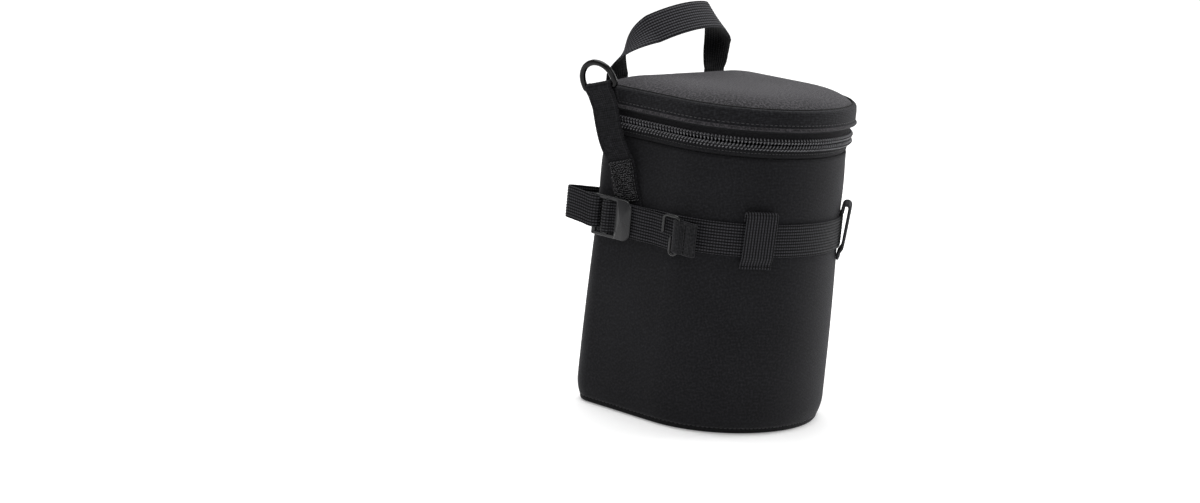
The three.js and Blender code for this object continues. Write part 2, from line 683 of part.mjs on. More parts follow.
function addBuckle() {
  const half = WEB / 2 + CLEAR;
  const edge = half + RAIL_WIDTH;
  const bottom = BAR_OUT - BAR_THICK / 2;
  const rear = -REAR_BAR_Y - BAR_LENGTH / 2;
  const lipRear = -BUCKLE_Y + LIP_GAP;
  const lipFront = -LIP_FRONT_Y;
  const lipBottom = THIRD + WEB_THICK / 2 + CLEAR;
  const railEnd = lipRear + LIP_CORNER;
  const allEdges = [BUCKLE_EDGE, BUCKLE_EDGE, BUCKLE_EDGE, BUCKLE_EDGE];
  const frameRadii = [BUCKLE_CORNER, BUCKLE_EDGE, BUCKLE_EDGE, BUCKLE_CORNER];
  const frame = plate(roundedRectangle(rear, railEnd, -edge, edge, frameRadii), bottom, BAR_THICK);
  const slot = (from, to) => {
    const outline = roundedRectangle(from, to, -half, half, allEdges);
    return plate(outline, bottom - CLEAR, BAR_THICK + 2 * CLEAR);
  };
  const behindBar = slot(rear + BAR_LENGTH, -BUCKLE_Y - BAR_LENGTH / 2);
  const beforeBar = slot(-BUCKLE_Y + BAR_LENGTH / 2, railEnd + CLEAR);
  const openFrame = cut(frame, [behindBar, beforeBar]);
  const lipRadii = [BUCKLE_EDGE, LIP_CORNER, LIP_CORNER, BUCKLE_EDGE];
  const lip = plate(roundedRectangle(lipRear, lipFront, -edge, edge, lipRadii), lipBottom, LIP_THICK);
  const ridgeOutline = roundedRectangle(lipRear, lipRear + 2 * LIP_THICK, -half, half, allEdges);
  const ridge = plate(ridgeOutline, lipBottom + LIP_THICK / 2, LIP_THICK);
  add("buckle", joined([openFrame, lip, ridge]), "plastic", leftGroup(BAND_HEIGHT));
}

// Wire clip: one leg lies in the fold of the tail, and its two arms end in staggered prongs
function addClip() {
  const group = leftGroup(BAND_HEIGHT - tailDrop(CLIP_LEG_Y));
  const reach = WEB / 2 + CLIP_WIRE + 2 * CLEAR;
  const bend = 1.5 * CLIP_WIRE;
  const leg = -CLIP_LEG_Y;
  const far = leg - CLIP_REACH;
  const near = leg - CLIP_SHORT_REACH;
  const path = [[far, CLIP_WIRE]];
  path.push(...arc(far + bend, reach - bend, bend, 180, 90, BEND_STEPS / 2));
  path.push(...arc(leg - bend, reach - bend, bend, 90, 0, BEND_STEPS / 2));
  path.push(...arc(leg - bend, bend - reach, bend, 0, -90, BEND_STEPS / 2));
  path.push(...arc(near + bend, bend - reach, bend, 270, 180, BEND_STEPS / 2));
  path.push([near, -CLIP_WIRE]);
  const points = path.map(([x, y]) => v3(x, y, CLIP_OUT));
  add("keeper_clip", wire(points, v3(0, 0, 1), CLIP_WIRE, false), "blackMetal", group);
}

// Vertical loops on the front: sewn flat at the foot, bulging over the strap, turned in at the top
function addFrontLoops() {
  const inTop = BAND_HEIGHT + WEB / 2 + WEB_THICK;
  const turn = (LOOP_BULGE - FIRST) / 2;
  const profile = [[FIRST, LOOP_BOTTOM], [FIRST, BAND_LOW - 2 * LAYER - WEB_THICK]];
  profile.push([SECOND + CLEAR, BAND_LOW - CLEAR], [(SECOND + LOOP_BULGE) / 2, BAND_HEIGHT]);
  profile.push(...arc(LOOP_BULGE - turn, LOOP_TOP - turn, turn, 0, 180, BEND_STEPS), [FIRST, inTop]);
  const loops = [["front_loop_left", 360 - LOOP_ANGLE], ["front_loop_right", 180 + LOOP_ANGLE]];
  for (const [name, angle] of loops) {
    const s = frontStation(angle);
    const across = v3(-s.ny, s.nx, 0);
    const centres = profile.map(([out, z]) => onStation(s, wallAt(LOOP_BOTTOM) + out, z));
    add(name, ribbon(centres, centres.map(() => across)), "webbing");
  }
}

// Wide belt loop on the back, over the strap
function addBeltLoop() {
  const out = SECOND + BELT_GAP;
  const step = out - FIRST;
  const profile = [
    [FIRST, BELT_LOOP_BOTTOM],
    [FIRST, BELT_LOOP_BOTTOM + BELT_LOOP_SEWN],
    [out, BELT_LOOP_BOTTOM + BELT_LOOP_SEWN + step],
    [out, BELT_LOOP_TOP - BELT_LOOP_SEWN - step],
    [FIRST, BELT_LOOP_TOP - BELT_LOOP_SEWN],
    [FIRST, BELT_LOOP_TOP],
  ];
  const wall = BACK_DEPTH + wallAt(BELT_LOOP_BOTTOM);
  const centres = profile.map(([distance, z]) => v3(0, wall + distance, z));
  add("belt_loop", ribbon(centres, centres.map(() => v3(1, 0, 0)), BELT_LOOP_WIDTH), "webbing");
}

// D-ring tab: in its group X runs across the tab, Y up along the wall and Z outwards
function addRingTab() {
  const lean = radians(TAB_LEAN);
  const slope = RIM_INSET / RIM;
  const up = v3(slope * Math.cos(lean), Math.sin(lean), Math.cos(lean)).normalize();
  const out = v3(-1, 0, slope).normalize();
  const across = up.clone().cross(out);
  const group = new THREE.Group();
  group.position.set(-HALF_WIDTH - wallAt(TAB_Z), TAB_Y, TAB_Z);
  group.quaternion.setFromRotationMatrix(new THREE.Matrix4().makeBasis(across, up, out));
  pouch.add(group);

  // Middle of the ring's straight bar, and the direction of the tab there
  const flare = radians(TAB_FLARE);
  const bendEnd = [TAB_SEWN + TAB_BEND * Math.sin(flare), FIRST + TAB_BEND * (1 - Math.cos(flare))];
  const straight = (TAB_LENGTH - bendEnd[0]) / Math.cos(flare);
  const wrap = RING_WIRE + CLEAR + WEB_THICK / 2;
  const barUp = bendEnd[0] + straight * Math.cos(flare);
  const barOut = bendEnd[1] + straight * Math.sin(flare) - LAYER / 2 / Math.cos(flare);
  const atBar = ([ahead, aside]) => [
    barUp + ahead * Math.cos(flare) - aside * Math.sin(flare),
    barOut + ahead * Math.sin(flare) + aside * Math.cos(flare),
  ];
  const path = [[-TAB_BELOW, FIRST]];
  path.push(...arc(TAB_SEWN, FIRST + TAB_BEND, TAB_BEND, -90, TAB_FLARE - 90, BEND_STEPS));
  const throat = -2.6 * RING_WIRE;
  const pinch = 0.6 * wrap;
  const fold = [[-TAB_FOLD, LAYER / 2], [throat, pinch]];
  fold.push(...arc(0, 0, wrap, 105, -105, WRAP_STEPS));
  fold.push([throat, -pinch], [-TAB_FOLD, -LAYER / 2]);
  path.push(...fold.map(atBar));
  const centres = path.map(([y, z]) => v3(0, y, z));
  add("side_tab", ribbon(centres, centres.map(() => v3(1, 0, 0))), "webbing", group);

  const patch = new THREE.BoxGeometry(WEB, PATCH_LENGTH, PATCH_THICK);
  patch.translate(0, PATCH_START + PATCH_LENGTH / 2, FIRST + WEB_THICK / 2 + CLEAR + PATCH_THICK / 2);
  add("hook_patch", patch, "hook", group);

  const ring = new THREE.Group();
  ring.position.set(0, barUp, barOut);
  ring.rotation.x = flare;
  group.add(ring);
  const half = WEB / 2 + CLEAR + RING_WIRE;
  const dee = arc(0, RING_SHOULDER, half, 0, 180, FOLD_STEPS);
  const bend = RING_WIRE;
  dee.push(...arc(bend - half, bend, bend, 180, 270, BEND_STEPS / 2));
  dee.push(...arc(half - bend, bend, bend, 270, 360, BEND_STEPS / 2));
  const points = dee.map(([x, y]) => v3(x, y, 0));
  add("d_ring", wire(points, v3(0, 0, 1), RING_WIRE, true), "blackMetal", ring);
}

addBody();
addRimBinding();
addZip();
addLid();
addSlider();
addHandle();
addStrap();
addBuckle();
addClip();
addFrontLoops();
addBeltLoop();
addRingTab();

export default pouch;
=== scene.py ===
"""Looks of a padded lens pouch: cloth, webbing, zip, buckle, wire parts and stitching.

Shapes are worked out in millimetres, in the part's own frame, and become metres in each mesh.
"""
import math

import bpy
import numpy as np
from mathutils import Matrix


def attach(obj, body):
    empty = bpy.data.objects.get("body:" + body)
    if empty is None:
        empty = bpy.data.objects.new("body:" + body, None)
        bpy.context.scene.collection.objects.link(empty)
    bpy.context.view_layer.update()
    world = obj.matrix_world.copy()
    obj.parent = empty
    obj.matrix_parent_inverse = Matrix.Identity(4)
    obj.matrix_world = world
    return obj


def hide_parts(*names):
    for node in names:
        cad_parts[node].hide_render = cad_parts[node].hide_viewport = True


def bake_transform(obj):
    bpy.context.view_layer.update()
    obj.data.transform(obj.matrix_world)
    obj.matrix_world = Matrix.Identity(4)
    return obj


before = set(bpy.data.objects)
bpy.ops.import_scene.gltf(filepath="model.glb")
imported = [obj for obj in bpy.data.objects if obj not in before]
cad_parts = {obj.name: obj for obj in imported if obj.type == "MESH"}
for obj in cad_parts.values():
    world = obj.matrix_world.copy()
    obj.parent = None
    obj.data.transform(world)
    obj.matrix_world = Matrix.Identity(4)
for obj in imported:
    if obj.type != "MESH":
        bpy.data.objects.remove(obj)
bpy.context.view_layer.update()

MM = 0.001

# Plan of the body on the ground, and the lean of its wall
HALF_WIDTH = 70.0
FRONT_DEPTH = 60.0
BACK_DEPTH = 68.0
BACK_CORNER = 16.0
RIM = 169.5
RIM_INSET = 2.8
BASE_TUCK = 4.0
TUCK_HEIGHT = 14.0

# Layers of the wall and the base, and the gap between neighbours
FABRIC = 1.2
FOAM = 6.0
LINING = 0.8
CLEAR = 0.3
BASE_THICK = 1.6
FLOOR = 8.2
PAD_TOP = 161.0

# Zip: height of its chain, offsets of its tapes and coil, and half the width of the hinge cloth
ZIP_LINE = 178.4
TAPE_OUT = -2.9
TAPE_THICK = 0.9
TAPE_BELOW_OUT = -4.3
TAPE_ABOVE_OUT = -1.3
COIL_OUT = -1.4
COIL_PITCH = 2.3
COIL_WIRE = 0.45
HINGE_HALF = 48.0
SLIDER_Y = 40.0
BAIL_OUT = 4.5

# Lid: its edge, seam and crown, its foam, the dome of its cloth and the lip along its edge
LID_EDGE = 187.0
LID_SEAM = 199.5
LID_OUT = 0.2
LID_CROWN = 4.2
LID_FOAM = 4.0
DOME = 6.9
DOME_POWER = 7.0
LIP_HEIGHT = 2.6
LIP_OUT = 1.1

# Webbing: its width, thickness and lengthwise ribs, and the places of stacked layers off a wall
WEB = 20.0
WEB_THICK = 1.5
WEB_HALF = 0.8
WEB_RIBS = 11
RIB_DEPTH = 0.3
LAYER = 2 * WEB_HALF + CLEAR
FIRST = CLEAR + WEB_HALF
SECOND = FIRST + LAYER
THIRD = SECOND + LAYER

# Added to the uv of one face of a webbing; the webbing's material paints that face almost black as
# painted shade
SHADED_FACE_UV = 80.0

# Handle: its sewn ends on the lid's back and the slanting fold above each
HANDLE_X = 48.0
HANDLE_Y = BACK_DEPTH + LID_OUT + CLEAR + WEB_HALF
HANDLE_LOW = 188.0
HANDLE_FOLD = 203.2
FOLD_SLANT = math.radians(36.3)
FOLD_RADIUS = 10.5

# Belt strap, with its buckle and wire clip on the left wall
BAND_HEIGHT = 120.3
BUCKLE_Y = 44.5
REAR_BAR_Y = 54.0
BAR_WIDE = 3.0
BAR_THICK = 2.6
BUCKLE_LIP_FRONT = 25.0
LOOP_LIFT = 2.0
TAIL_END = -23.0
TAIL_DROP = 2.5
HEM_LENGTH = 7.0
CLIP_Y = -11.0
CLIP_OUT = 5.4
CLIP_WIRE = 1.0

# Loops that hold the strap: places of the front ones on the ellipse in degrees, and heights
FRONT_LOOPS = {"left": 232.6, "right": 307.4}
LOOP_FOOT = 103.0
LOOP_TOP = 137.5
LOOP_OUT = 5.4
LOOP_THICK = 2.0
BELT_LOOP_WIDTH = 50.0
BELT_LOOP_LOW = 58.0
BELT_LOOP_HIGH = 152.0
BELT_LOOP_SEWN = 11.0

# Side tab: its foot on the left wall, how it leans and stands off, its hook tape and its ring
TAB_Y = 33.0
TAB_Z = 131.0
TAB_FOLD = 12.0
TAB_BOW = 2.7
LEAN = math.radians(17.3)
FLARE = math.radians(20)
PATCH_LEFT = -8.2
PATCH_RIGHT = 9.6
PATCH_LOW = -0.4
PATCH_HIGH = 25.4
PATCH_BASE = FIRST + WEB_HALF + CLEAR
RING_WIRE = 1.6
RING_UP = 70.5


# Plan and paths

UP = np.array([0.0, 0, 1])
RIGHT = np.array([1.0, 0, 0])
BACK = np.array([0.0, 1, 0])


def unit(v):
    """Each vector divided by its own length."""
    return v / np.linalg.norm(v, axis=-1, keepdims=True)


def smooth_rise(v, start, reach):
    """Rises from 0 at a start to 1 a reach further on, with level ends, as a cubic."""
    share = np.clip((v - start) / reach, 0, 1)
    return share**2 * (3 - 2 * share)


def lengths(points):
    """Running length along a row of points."""
    return np.concatenate([[0], np.cumsum(np.linalg.norm(np.diff(points, axis=0), axis=1))])


def read_off(at, run, rows):
    """Every column of the rows, which lie at running lengths, interpolated at other lengths."""
    return np.stack([np.interp(at, run, rows[:, k]) for k in range(rows.shape[1])], -1)


def raised(flat, z):
    """Points of a plane with their height as a third column."""
    height = np.broadcast_to(z, flat.shape[:-1])
    return np.concatenate([flat, height[..., None]], -1)


def arc(cx, cy, radius, start, stop, count):
    """Points on a circle in a plane, from one angle in degrees to another."""
    turn = np.radians(np.linspace(start, stop, count))
    return np.stack([cx + radius * np.cos(turn), cy + radius * np.sin(turn)], -1)


def even_path(points, step, soften=0.0):
    """The line through the points with even spacing, then averaged with a bell-shaped weight of
    width soften, so its corners become round. The ends stay in place."""
    points = np.asarray(points, float)
    run = lengths(points)
    count = max(2, int(round(run[-1] / step)) + 1)
    path = read_off(np.linspace(0, run[-1], count), run, points)
    if soften <= 0:
        return path
    reach = int(3 * soften / step) + 1
    weight = np.exp(-0.5 * (np.arange(-reach, reach + 1) * step / soften) ** 2)
    weight /= weight.sum()
    before = 2 * path[0] - path[1 : reach + 1][::-1]
    after = 2 * path[-1] - path[-reach - 1 : -1][::-1]
    padded = np.vstack([before, path, after])
    return np.stack([np.convolve(padded[:, k], weight, "valid") for k in range(path.shape[1])], -1)


def ripple(u, v, seed, size):
    """Soft unevenness between about -1 and 1: the mean of a few waves of the given size in mm, with
    directions and phases from a seed."""
    waves = 5
    rng = np.random.default_rng(seed)
    total = np.zeros(np.broadcast(u, v).shape)
    for _ in range(waves):
        heading = rng.uniform(0, 2 * np.pi)
        phase = rng.uniform(0, 2 * np.pi)
        reach = size * rng.uniform(0.7, 1.5)
        total += np.sin(2 * np.pi * (u * np.cos(heading) + v * np.sin(heading)) / reach + phase)
    return total / waves


def wall_at(z):
    """Offset of the wall from the plan: it leans in evenly, by RIM_INSET at the rim, and tucks in
    towards the ground as a parabola below TUCK_HEIGHT."""
    tuck = np.maximum(0, 1 - np.asarray(z) / TUCK_HEIGHT)
    return -RIM_INSET * np.asarray(z) / RIM - BASE_TUCK * tuck**2


def plan_line():
    """The plan as a dense line from the middle of the back, leftwards and round: a straight back,
    a quarter circle, a straight side, half an ellipse, and the same mirrored. Columns are x, y and
    the outward normal."""
    share = np.linspace(0, 1, 400)[:, None]
    flat = np.ones_like(share)
    straight = HALF_WIDTH - BACK_CORNER
    side_end = BACK_DEPTH - BACK_CORNER
    back = np.hstack([-straight * share, BACK_DEPTH * flat, 0 * flat, flat])
    turn = np.pi / 2 * (1 + share)
    corner_normal = np.hstack([np.cos(turn), np.sin(turn)])
    corner = np.hstack([BACK_CORNER * corner_normal + [-straight, side_end], corner_normal])
    side = np.hstack([-HALF_WIDTH * flat, side_end * (1 - share), -flat, 0 * flat])
    turn = np.pi * (1 + share / 2)
    front_normal = unit(np.hstack([np.cos(turn) / HALF_WIDTH, np.sin(turn) / FRONT_DEPTH]))
    front = np.hstack([HALF_WIDTH * np.cos(turn), FRONT_DEPTH * np.sin(turn), front_normal])
    left = np.vstack([back, corner[1:], side[1:], front[1:]])
    right = (left * [-1, 1, -1, 1])[::-1]
    return np.vstack([left, right[1:]])


PLAN = plan_line()
PLAN_AT = lengths(PLAN[:, :2])
PLAN_LENGTH = PLAN_AT[-1]


def plan_steps(count):
    """Distances along the plan in equal steps, once round."""
    return np.arange(count) * PLAN_LENGTH / count


def stations(along):
    """Point and normal of the plan at distances along it, taken from the dense line."""
    columns = read_off(along % PLAN_LENGTH, PLAN_AT, PLAN)
    return columns[..., :2], unit(columns[..., 2:])


def plan_at_angle(degrees):
    """Distance along the plan of a point of the front ellipse, by its angle."""
    angle = math.radians(degrees)
    point = [HALF_WIDTH * math.cos(angle), FRONT_DEPTH * math.sin(angle)]
    return PLAN_AT[np.argmin(np.linalg.norm(PLAN[:, :2] - point, axis=1))]


def around(along, out, z):
    """Points at distances along the plan, each pushed out along its normal and set to a height."""
    place, normal = stations(along)
    return raised(place + normal * np.asarray(out)[..., None], z)


# Meshes


def make_mesh(name, points, blocks, corners=None):
    """A smooth-shaded object from points in mm. A block is an array of faces with equally many
    corners, and the uv pairs of these corners, in mm, come in blocks of the same shape. If the
    signed volume says that the faces point inwards, they are turned round."""
    points = np.asarray(points, float).reshape(-1, 3)
    volume = 0.0
    for block in blocks:
        spread = np.cross(points[block[:, 1:-1]], points[block[:, 2:]])
        volume += (points[block[:, :1]] * spread).sum()
    if volume < 0:
        blocks = [block[:, ::-1] for block in blocks]
        corners = corners and [pairs[:, ::-1] for pairs in corners]
    sizes = np.concatenate([np.full(len(block), block.shape[1]) for block in blocks])
    indices = np.concatenate([block.ravel() for block in blocks])
    mesh = bpy.data.meshes.new(name)
    mesh.vertices.add(len(points))
    mesh.vertices.foreach_set("co", (points * MM).astype(np.float32).ravel())
    mesh.loops.add(len(indices))
    mesh.loops.foreach_set("vertex_index", indices.astype(np.int32))
    mesh.polygons.add(len(sizes))
    mesh.polygons.foreach_set("loop_start", (np.cumsum(sizes) - sizes).astype(np.int32))
    mesh.polygons.foreach_set("use_smooth", np.ones(len(sizes), bool))
    mesh.update(calc_edges=True)
    if corners:
        layer = mesh.uv_layers.new(name="weave")
        pairs = np.concatenate([block.reshape(-1, 2) for block in corners])
        layer.data.foreach_set("uv", pairs.astype(np.float32).ravel())
    thing = bpy.data.objects.new(name, mesh)
    bpy.context.scene.collection.objects.link(thing)
    return thing


def quad_corners(rows, columns):
    """Row and column numbers of the four corners of every quad in so many rows and columns."""
    i, j = np.meshgrid(np.arange(rows), np.arange(columns), indexing="ij")
    i = np.stack([i, i + 1, i + 1, i], -1).reshape(-1, 4)
    j = np.stack([j, j, j + 1, j + 1], -1).reshape(-1, 4)
    return i, j


def uv_grid(along, across):
    """The uv pairs of a grid, from the distances of its rows and of its columns."""
    return np.stack(np.meshgrid(along, across, indexing="ij"), -1)


def flat_uv(rows):
    """The uv pairs of rings seen from above: their own x and y, with the first column repeated."""
    return np.concatenate([rows[..., :2], rows[:, :1, :2]], 1)


def grid(name, points, uv, closed=False):
    """An object from a grid of points whose rows are rings. In a closed grid the last ring joins the
    first, and otherwise one face fills each of the two. The uv grid has one column more than the
    points, and where it is closed one row more."""
    rows, columns = points.shape[:2]
    i, j = quad_corners(rows if closed else rows - 1, columns)
    blocks = [i % rows * columns + j % columns]
    corners = [uv[i, j]]
    if not closed:
        ring = np.arange(columns)
        back = ring[::-1]
        blocks.append(np.stack([ring, back + (rows - 1) * columns]))
        corners.append(np.stack([uv[0, ring], uv[-1, back]]))
    return make_mesh(name, points, blocks, corners)


def many_beads(name, beads):
    """One object from many small closed tubes: an array of tubes, rings, points round and x, y, z."""
    count, rings, sides = beads.shape[:3]
    first = np.arange(count)[:, None, None] * rings * sides
    i, j = quad_corners(rings - 1, sides)
    quads = (first + i * sides + j % sides).reshape(-1, 4)
    ring = np.arange(sides)
    ends = (first + np.stack([ring, (rings - 1) * sides + ring[::-1]])).reshape(-1, sides)
    return make_mesh(name, beads, [quads, ends])


def sweep(name, outline, along, closed, bulge=None):
    """A closed outline of (out, z) points carried through distances along the plan. Bulge is a
    function of the distance and the height that gives extra offsets. The uv is the distance and the
    length round the outline."""
    outline = np.asarray(outline, float)
    out, z = outline.T
    if bulge is not None:
        out = out + bulge(along[:, None], z)
    run = np.append(along, PLAN_LENGTH) if closed else along
    across = lengths(np.vstack([outline, outline[:1]]))
    return grid(name, around(along[:, None], out, z), uv_grid(run, across), closed)


def hoop(name, outline, bulge=None, count=420):
    """A closed outline of (out, z) points carried once round the plan."""
    return sweep(name, outline, plan_steps(count), True, bulge)


def strip(name, outline, first, last, step=1.2):
    """A closed outline of (out, z) points carried along part of the plan, with filled ends."""
    return sweep(name, outline, np.linspace(first, last, int((last - first) / step)), False)


def rectangle(left, right, low, high):
    """Corners of a rectangle, from the lower left one on."""
    return np.array([[left, low], [right, low], [right, high], [left, high]])


def soft_outline(corners, radius, step, count=5):
    """A closed outline with each corner replaced by an arc of the given radius or radii, and then
    each span divided into parts of about one step."""
    corners = np.asarray(corners, float)
    radii = np.broadcast_to(radius, len(corners))
    before = unit(np.roll(corners, 1, 0) - corners)
    after = unit(np.roll(corners, -1, 0) - corners)
    half = np.arccos(np.clip((before * after).sum(-1), -1, 1)) / 2
    inwards = unit(before + after + 1e-12)
    centre = corners + inwards * (radii / np.sin(half))[:, None]
    from_centre = corners + before * (radii / np.tan(half))[:, None] - centre
    to_centre = corners + after * (radii / np.tan(half))[:, None] - centre
    share = np.linspace(0, 1, count)[:, None]
    spoke = unit(from_centre[:, None] * (1 - share) + to_centre[:, None] * share)
    ring = (centre[:, None] + spoke * radii[:, None, None]).reshape(-1, 2)

    ahead = np.roll(ring, -1, 0) - ring
    spans = np.linalg.norm(ahead, axis=1)
    parts = np.maximum(1, np.round(spans / step)).astype(int) * (spans > 1e-6)
    part = np.arange(parts.sum()) - np.repeat(np.cumsum(parts) - parts, parts)
    share = (part / np.repeat(parts, parts))[:, None]
    return np.repeat(ring, parts, 0) + np.repeat(ahead, parts, 0) * share


def webbing_outline(width=WEB, thick=WEB_THICK, ribs=WEB_RIBS, edge=0.0, depth=1.0):
    """Cross-section of webbing: a thin bar with round edges, whose two faces rise and fall as a
    cosine across the ribs, by a share of their depth. Edge thickens its two selvedges, as a bell."""
    selvedge = 1.2
    selvedge_spread = 0.9
    x = np.linspace(-width / 2, width / 2, ribs * 5 + 1)
    inside = width / 2 - np.abs(x)
    near = np.clip(inside / (thick / 2), 0, 1)
    round_off = np.sqrt(1 - (1 - near) ** 2)
    rib = RIB_DEPTH / 2 * (np.cos(2 * np.pi * ribs * x / width + np.pi) - 1)
    bound = edge * np.exp(-(((inside - selvedge) / selvedge_spread) ** 2))
    half = (thick / 2 + depth * rib + bound) * round_off
    top = np.stack([x, half], -1)
    return np.vstack([top, (top * [1, -1])[-2:0:-1]])


def end_rows(count, extra):
    """Row numbers of a path whose first and last row are repeated, to shape its ends."""
    return np.concatenate([np.zeros(extra, int), np.arange(count), np.full(extra, count - 1)])


def band(name, centres, across, outline, bend=None, back=0.0):
    """A band along centre points: at each, the outline lies in the plane of the across direction
    and the face direction, which is along cross across. The last third of a millimetre at each end
    is drawn in to a round edge. The uv is length along and place across, so a pattern follows the
    band, and back is added to the place on the face side, where the handle's material paints that
    face almost black as painted shade. Bend is a function that moves the points."""
    along = unit(np.gradient(centres, axis=0))
    across = unit(np.broadcast_to(across, centres.shape))
    face = unit(np.cross(along, across))
    tip = np.array([0.35, 0.75, 1.0])
    inset = np.array([0.0, 0.12, 0.35])
    middle = np.zeros(len(centres) - 2)
    shift = np.concatenate([inset, middle, -inset[::-1]])
    thin = np.concatenate([tip, middle + 1, tip[::-1]])
    row = end_rows(len(centres), len(tip) - 1)
    rows = centres[row] + along[row] * shift[:, None]
    rise = face[row] * thin[:, None]
    points = rows[:, None] + across[row][:, None] * outline[:, :1] + rise[:, None] * outline[:, 1:]
    if bend is not None:
        points = bend(points)
    place = outline[:, 0] + back * (outline[:, 1] > 0)
    return grid(name, points, uv_grid(lengths(rows), np.append(place, place[0])))


def wire(name, centres, size, side, lift, sides, closed=False):
    """Round rings about centres, each in the plane of its two directions and of its own size."""
    turn = 2 * np.pi * np.arange(sides + 1) / sides
    spoke = side[:, None] * np.cos(turn[:-1, None]) + lift[:, None] * np.sin(turn[:-1, None])
    run = lengths(np.vstack([centres, centres[:1]]) if closed else centres)
    uv = uv_grid(run, turn * size.max())
    return grid(name, centres[:, None] + size[:, None, None] * spoke, uv, closed)


def tube(name, centres, radius, normal, sides=14, closed=False):
    """A round wire along points that lie near one plane with the given normal. An open wire ends in
    half balls, made by rows that shrink as a quarter circle."""
    if closed:
        along = unit(np.roll(centres, -1, 0) - np.roll(centres, 1, 0))
        size = np.full(len(centres), radius)
    else:
        turn = np.linspace(0.12, 1, 5) * np.pi / 2
        swell = radius * np.sin(turn)
        reach = radius * np.cos(turn)
        middle = np.zeros(len(centres) - 2)
        row = end_rows(len(centres), len(turn) - 1)
        along = unit(np.gradient(centres, axis=0))[row]
        shift = np.concatenate([-reach, middle, reach[::-1]])
        centres = centres[row] + along * shift[:, None]
        size = np.concatenate([swell, middle + radius, swell[::-1]])
    side = unit(np.cross(along, normal))
    return wire(name, centres, size, side, unit(np.cross(side, along)), sides, closed)


def round_edge(bottom, top, edge, count):
    """How far in the rows of a round-edged plate lie and how high, as its lower and its upper edge
    each turn through a quarter circle."""
    turn = np.linspace(0, np.pi / 2, count)
    drawn = edge * (1 - np.sin(turn))
    risen = edge * (1 - np.cos(turn))
    return np.concatenate([drawn, risen]), np.concatenate([bottom + risen, top - drawn])


def plate(name, outline, bottom, top, edge, place, crown=0.0):
    """A plate with round edges: its outline is drawn in towards the middle along them, and its top
    is filled by smaller rows that rise to a crown. Place is a function that puts local points on
    the object."""
    middle = (outline.min(0) + outline.max(0)) / 2
    half = (outline.max(0) - outline.min(0)) / 2
    draw, height = round_edge(bottom, top, edge, 5)
    fill = np.array([0.85, 0.6, 0.3, 0.08])
    ring = (outline - middle) * (1 - draw[:, None, None] / half)
    inner = (outline - middle) * (1 - edge / half) * fill[:, None, None]
    level = np.concatenate([height, top + crown * (1 - fill**2)])
    local = raised(middle + np.concatenate([ring, inner]), level[:, None])
    return grid(name, place(local), flat_uv(local))


def shrunk(ring, shares, z):
    """Copies of a ring drawn in towards the middle of the plan to shares of its size, at heights."""
    return raised(ring[:, :2] * shares[:, None, None], z)


def filled_disc(name, out, bottom, top, edge, crown=0.0):
    """A pad of the plan's shape: round-edged rows drawn in from the offset plan, filled by smaller
    rows of the same shape that rise to a crown."""
    draw, height = round_edge(bottom, top, edge, 6)
    rim = around(plan_steps(240), (out - draw)[:, None], height[:, None])
    shares = np.array([0.93, 0.8, 0.55, 0.3, 0.1, 0.02])
    above = shrunk(rim[-1], shares, (top + crown * (1 - shares**4))[:, None])
    below = shrunk(rim[0], shares[::-1], bottom)
    rows = np.concatenate([below, rim, above])
    return grid(name, rows, flat_uv(rows))


def join(name, things):
    """Several new objects made one, keeping their uv maps and materials."""
    with bpy.context.temp_override(active_object=things[0], selected_editable_objects=things):
        bpy.ops.object.join()
    things[0].name = name
    things[0].data.name = name
    return things[0]


# Materials


def linear(code):
    """An sRGB hex colour as linear red, green, blue and alpha."""
    parts = np.array([int(code[k : k + 2], 16) for k in (1, 3, 5)]) / 255
    low = parts / 12.92
    high = ((parts + 0.055) / 1.055) ** 2.4
    return (*np.where(parts <= 0.04045, low, high), 1.0)


MATH = "ShaderNodeMath"
NOISE = "ShaderNodeTexNoise"
RANGE = "ShaderNodeMapRange"
MIX = "ShaderNodeMix"
BUMP = "ShaderNodeBump"
SHADER = "ShaderNodeBsdfPrincipled"
SURFACE = "ShaderNodeOutputMaterial"

# Sockets of the mix node for colours, whose names are not unique
SHARE = 0
DARK = 6
LIGHT = 7
MIXED = 2


def node(tree, kind, inputs=None, output=0, **settings):
    """Adds a node with its settings, and returns one of its outputs. Inputs maps a socket's name or
    number to a value, or to another node's output to link."""
    made = tree.nodes.new(kind)
    for key, value in settings.items():
        setattr(made, key, value)
    for key, value in (inputs or {}).items():
        if isinstance(value, bpy.types.NodeSocket):
            tree.links.new(value, made.inputs[key])
        else:
            made.inputs[key].default_value = value
    return made.outputs[output] if made.outputs else None


def new_material(name):
    """An empty node material and its tree."""
    made = bpy.data.materials.new(name)
    made.use_nodes = True
    made.node_tree.nodes.clear()
    return made, made.node_tree


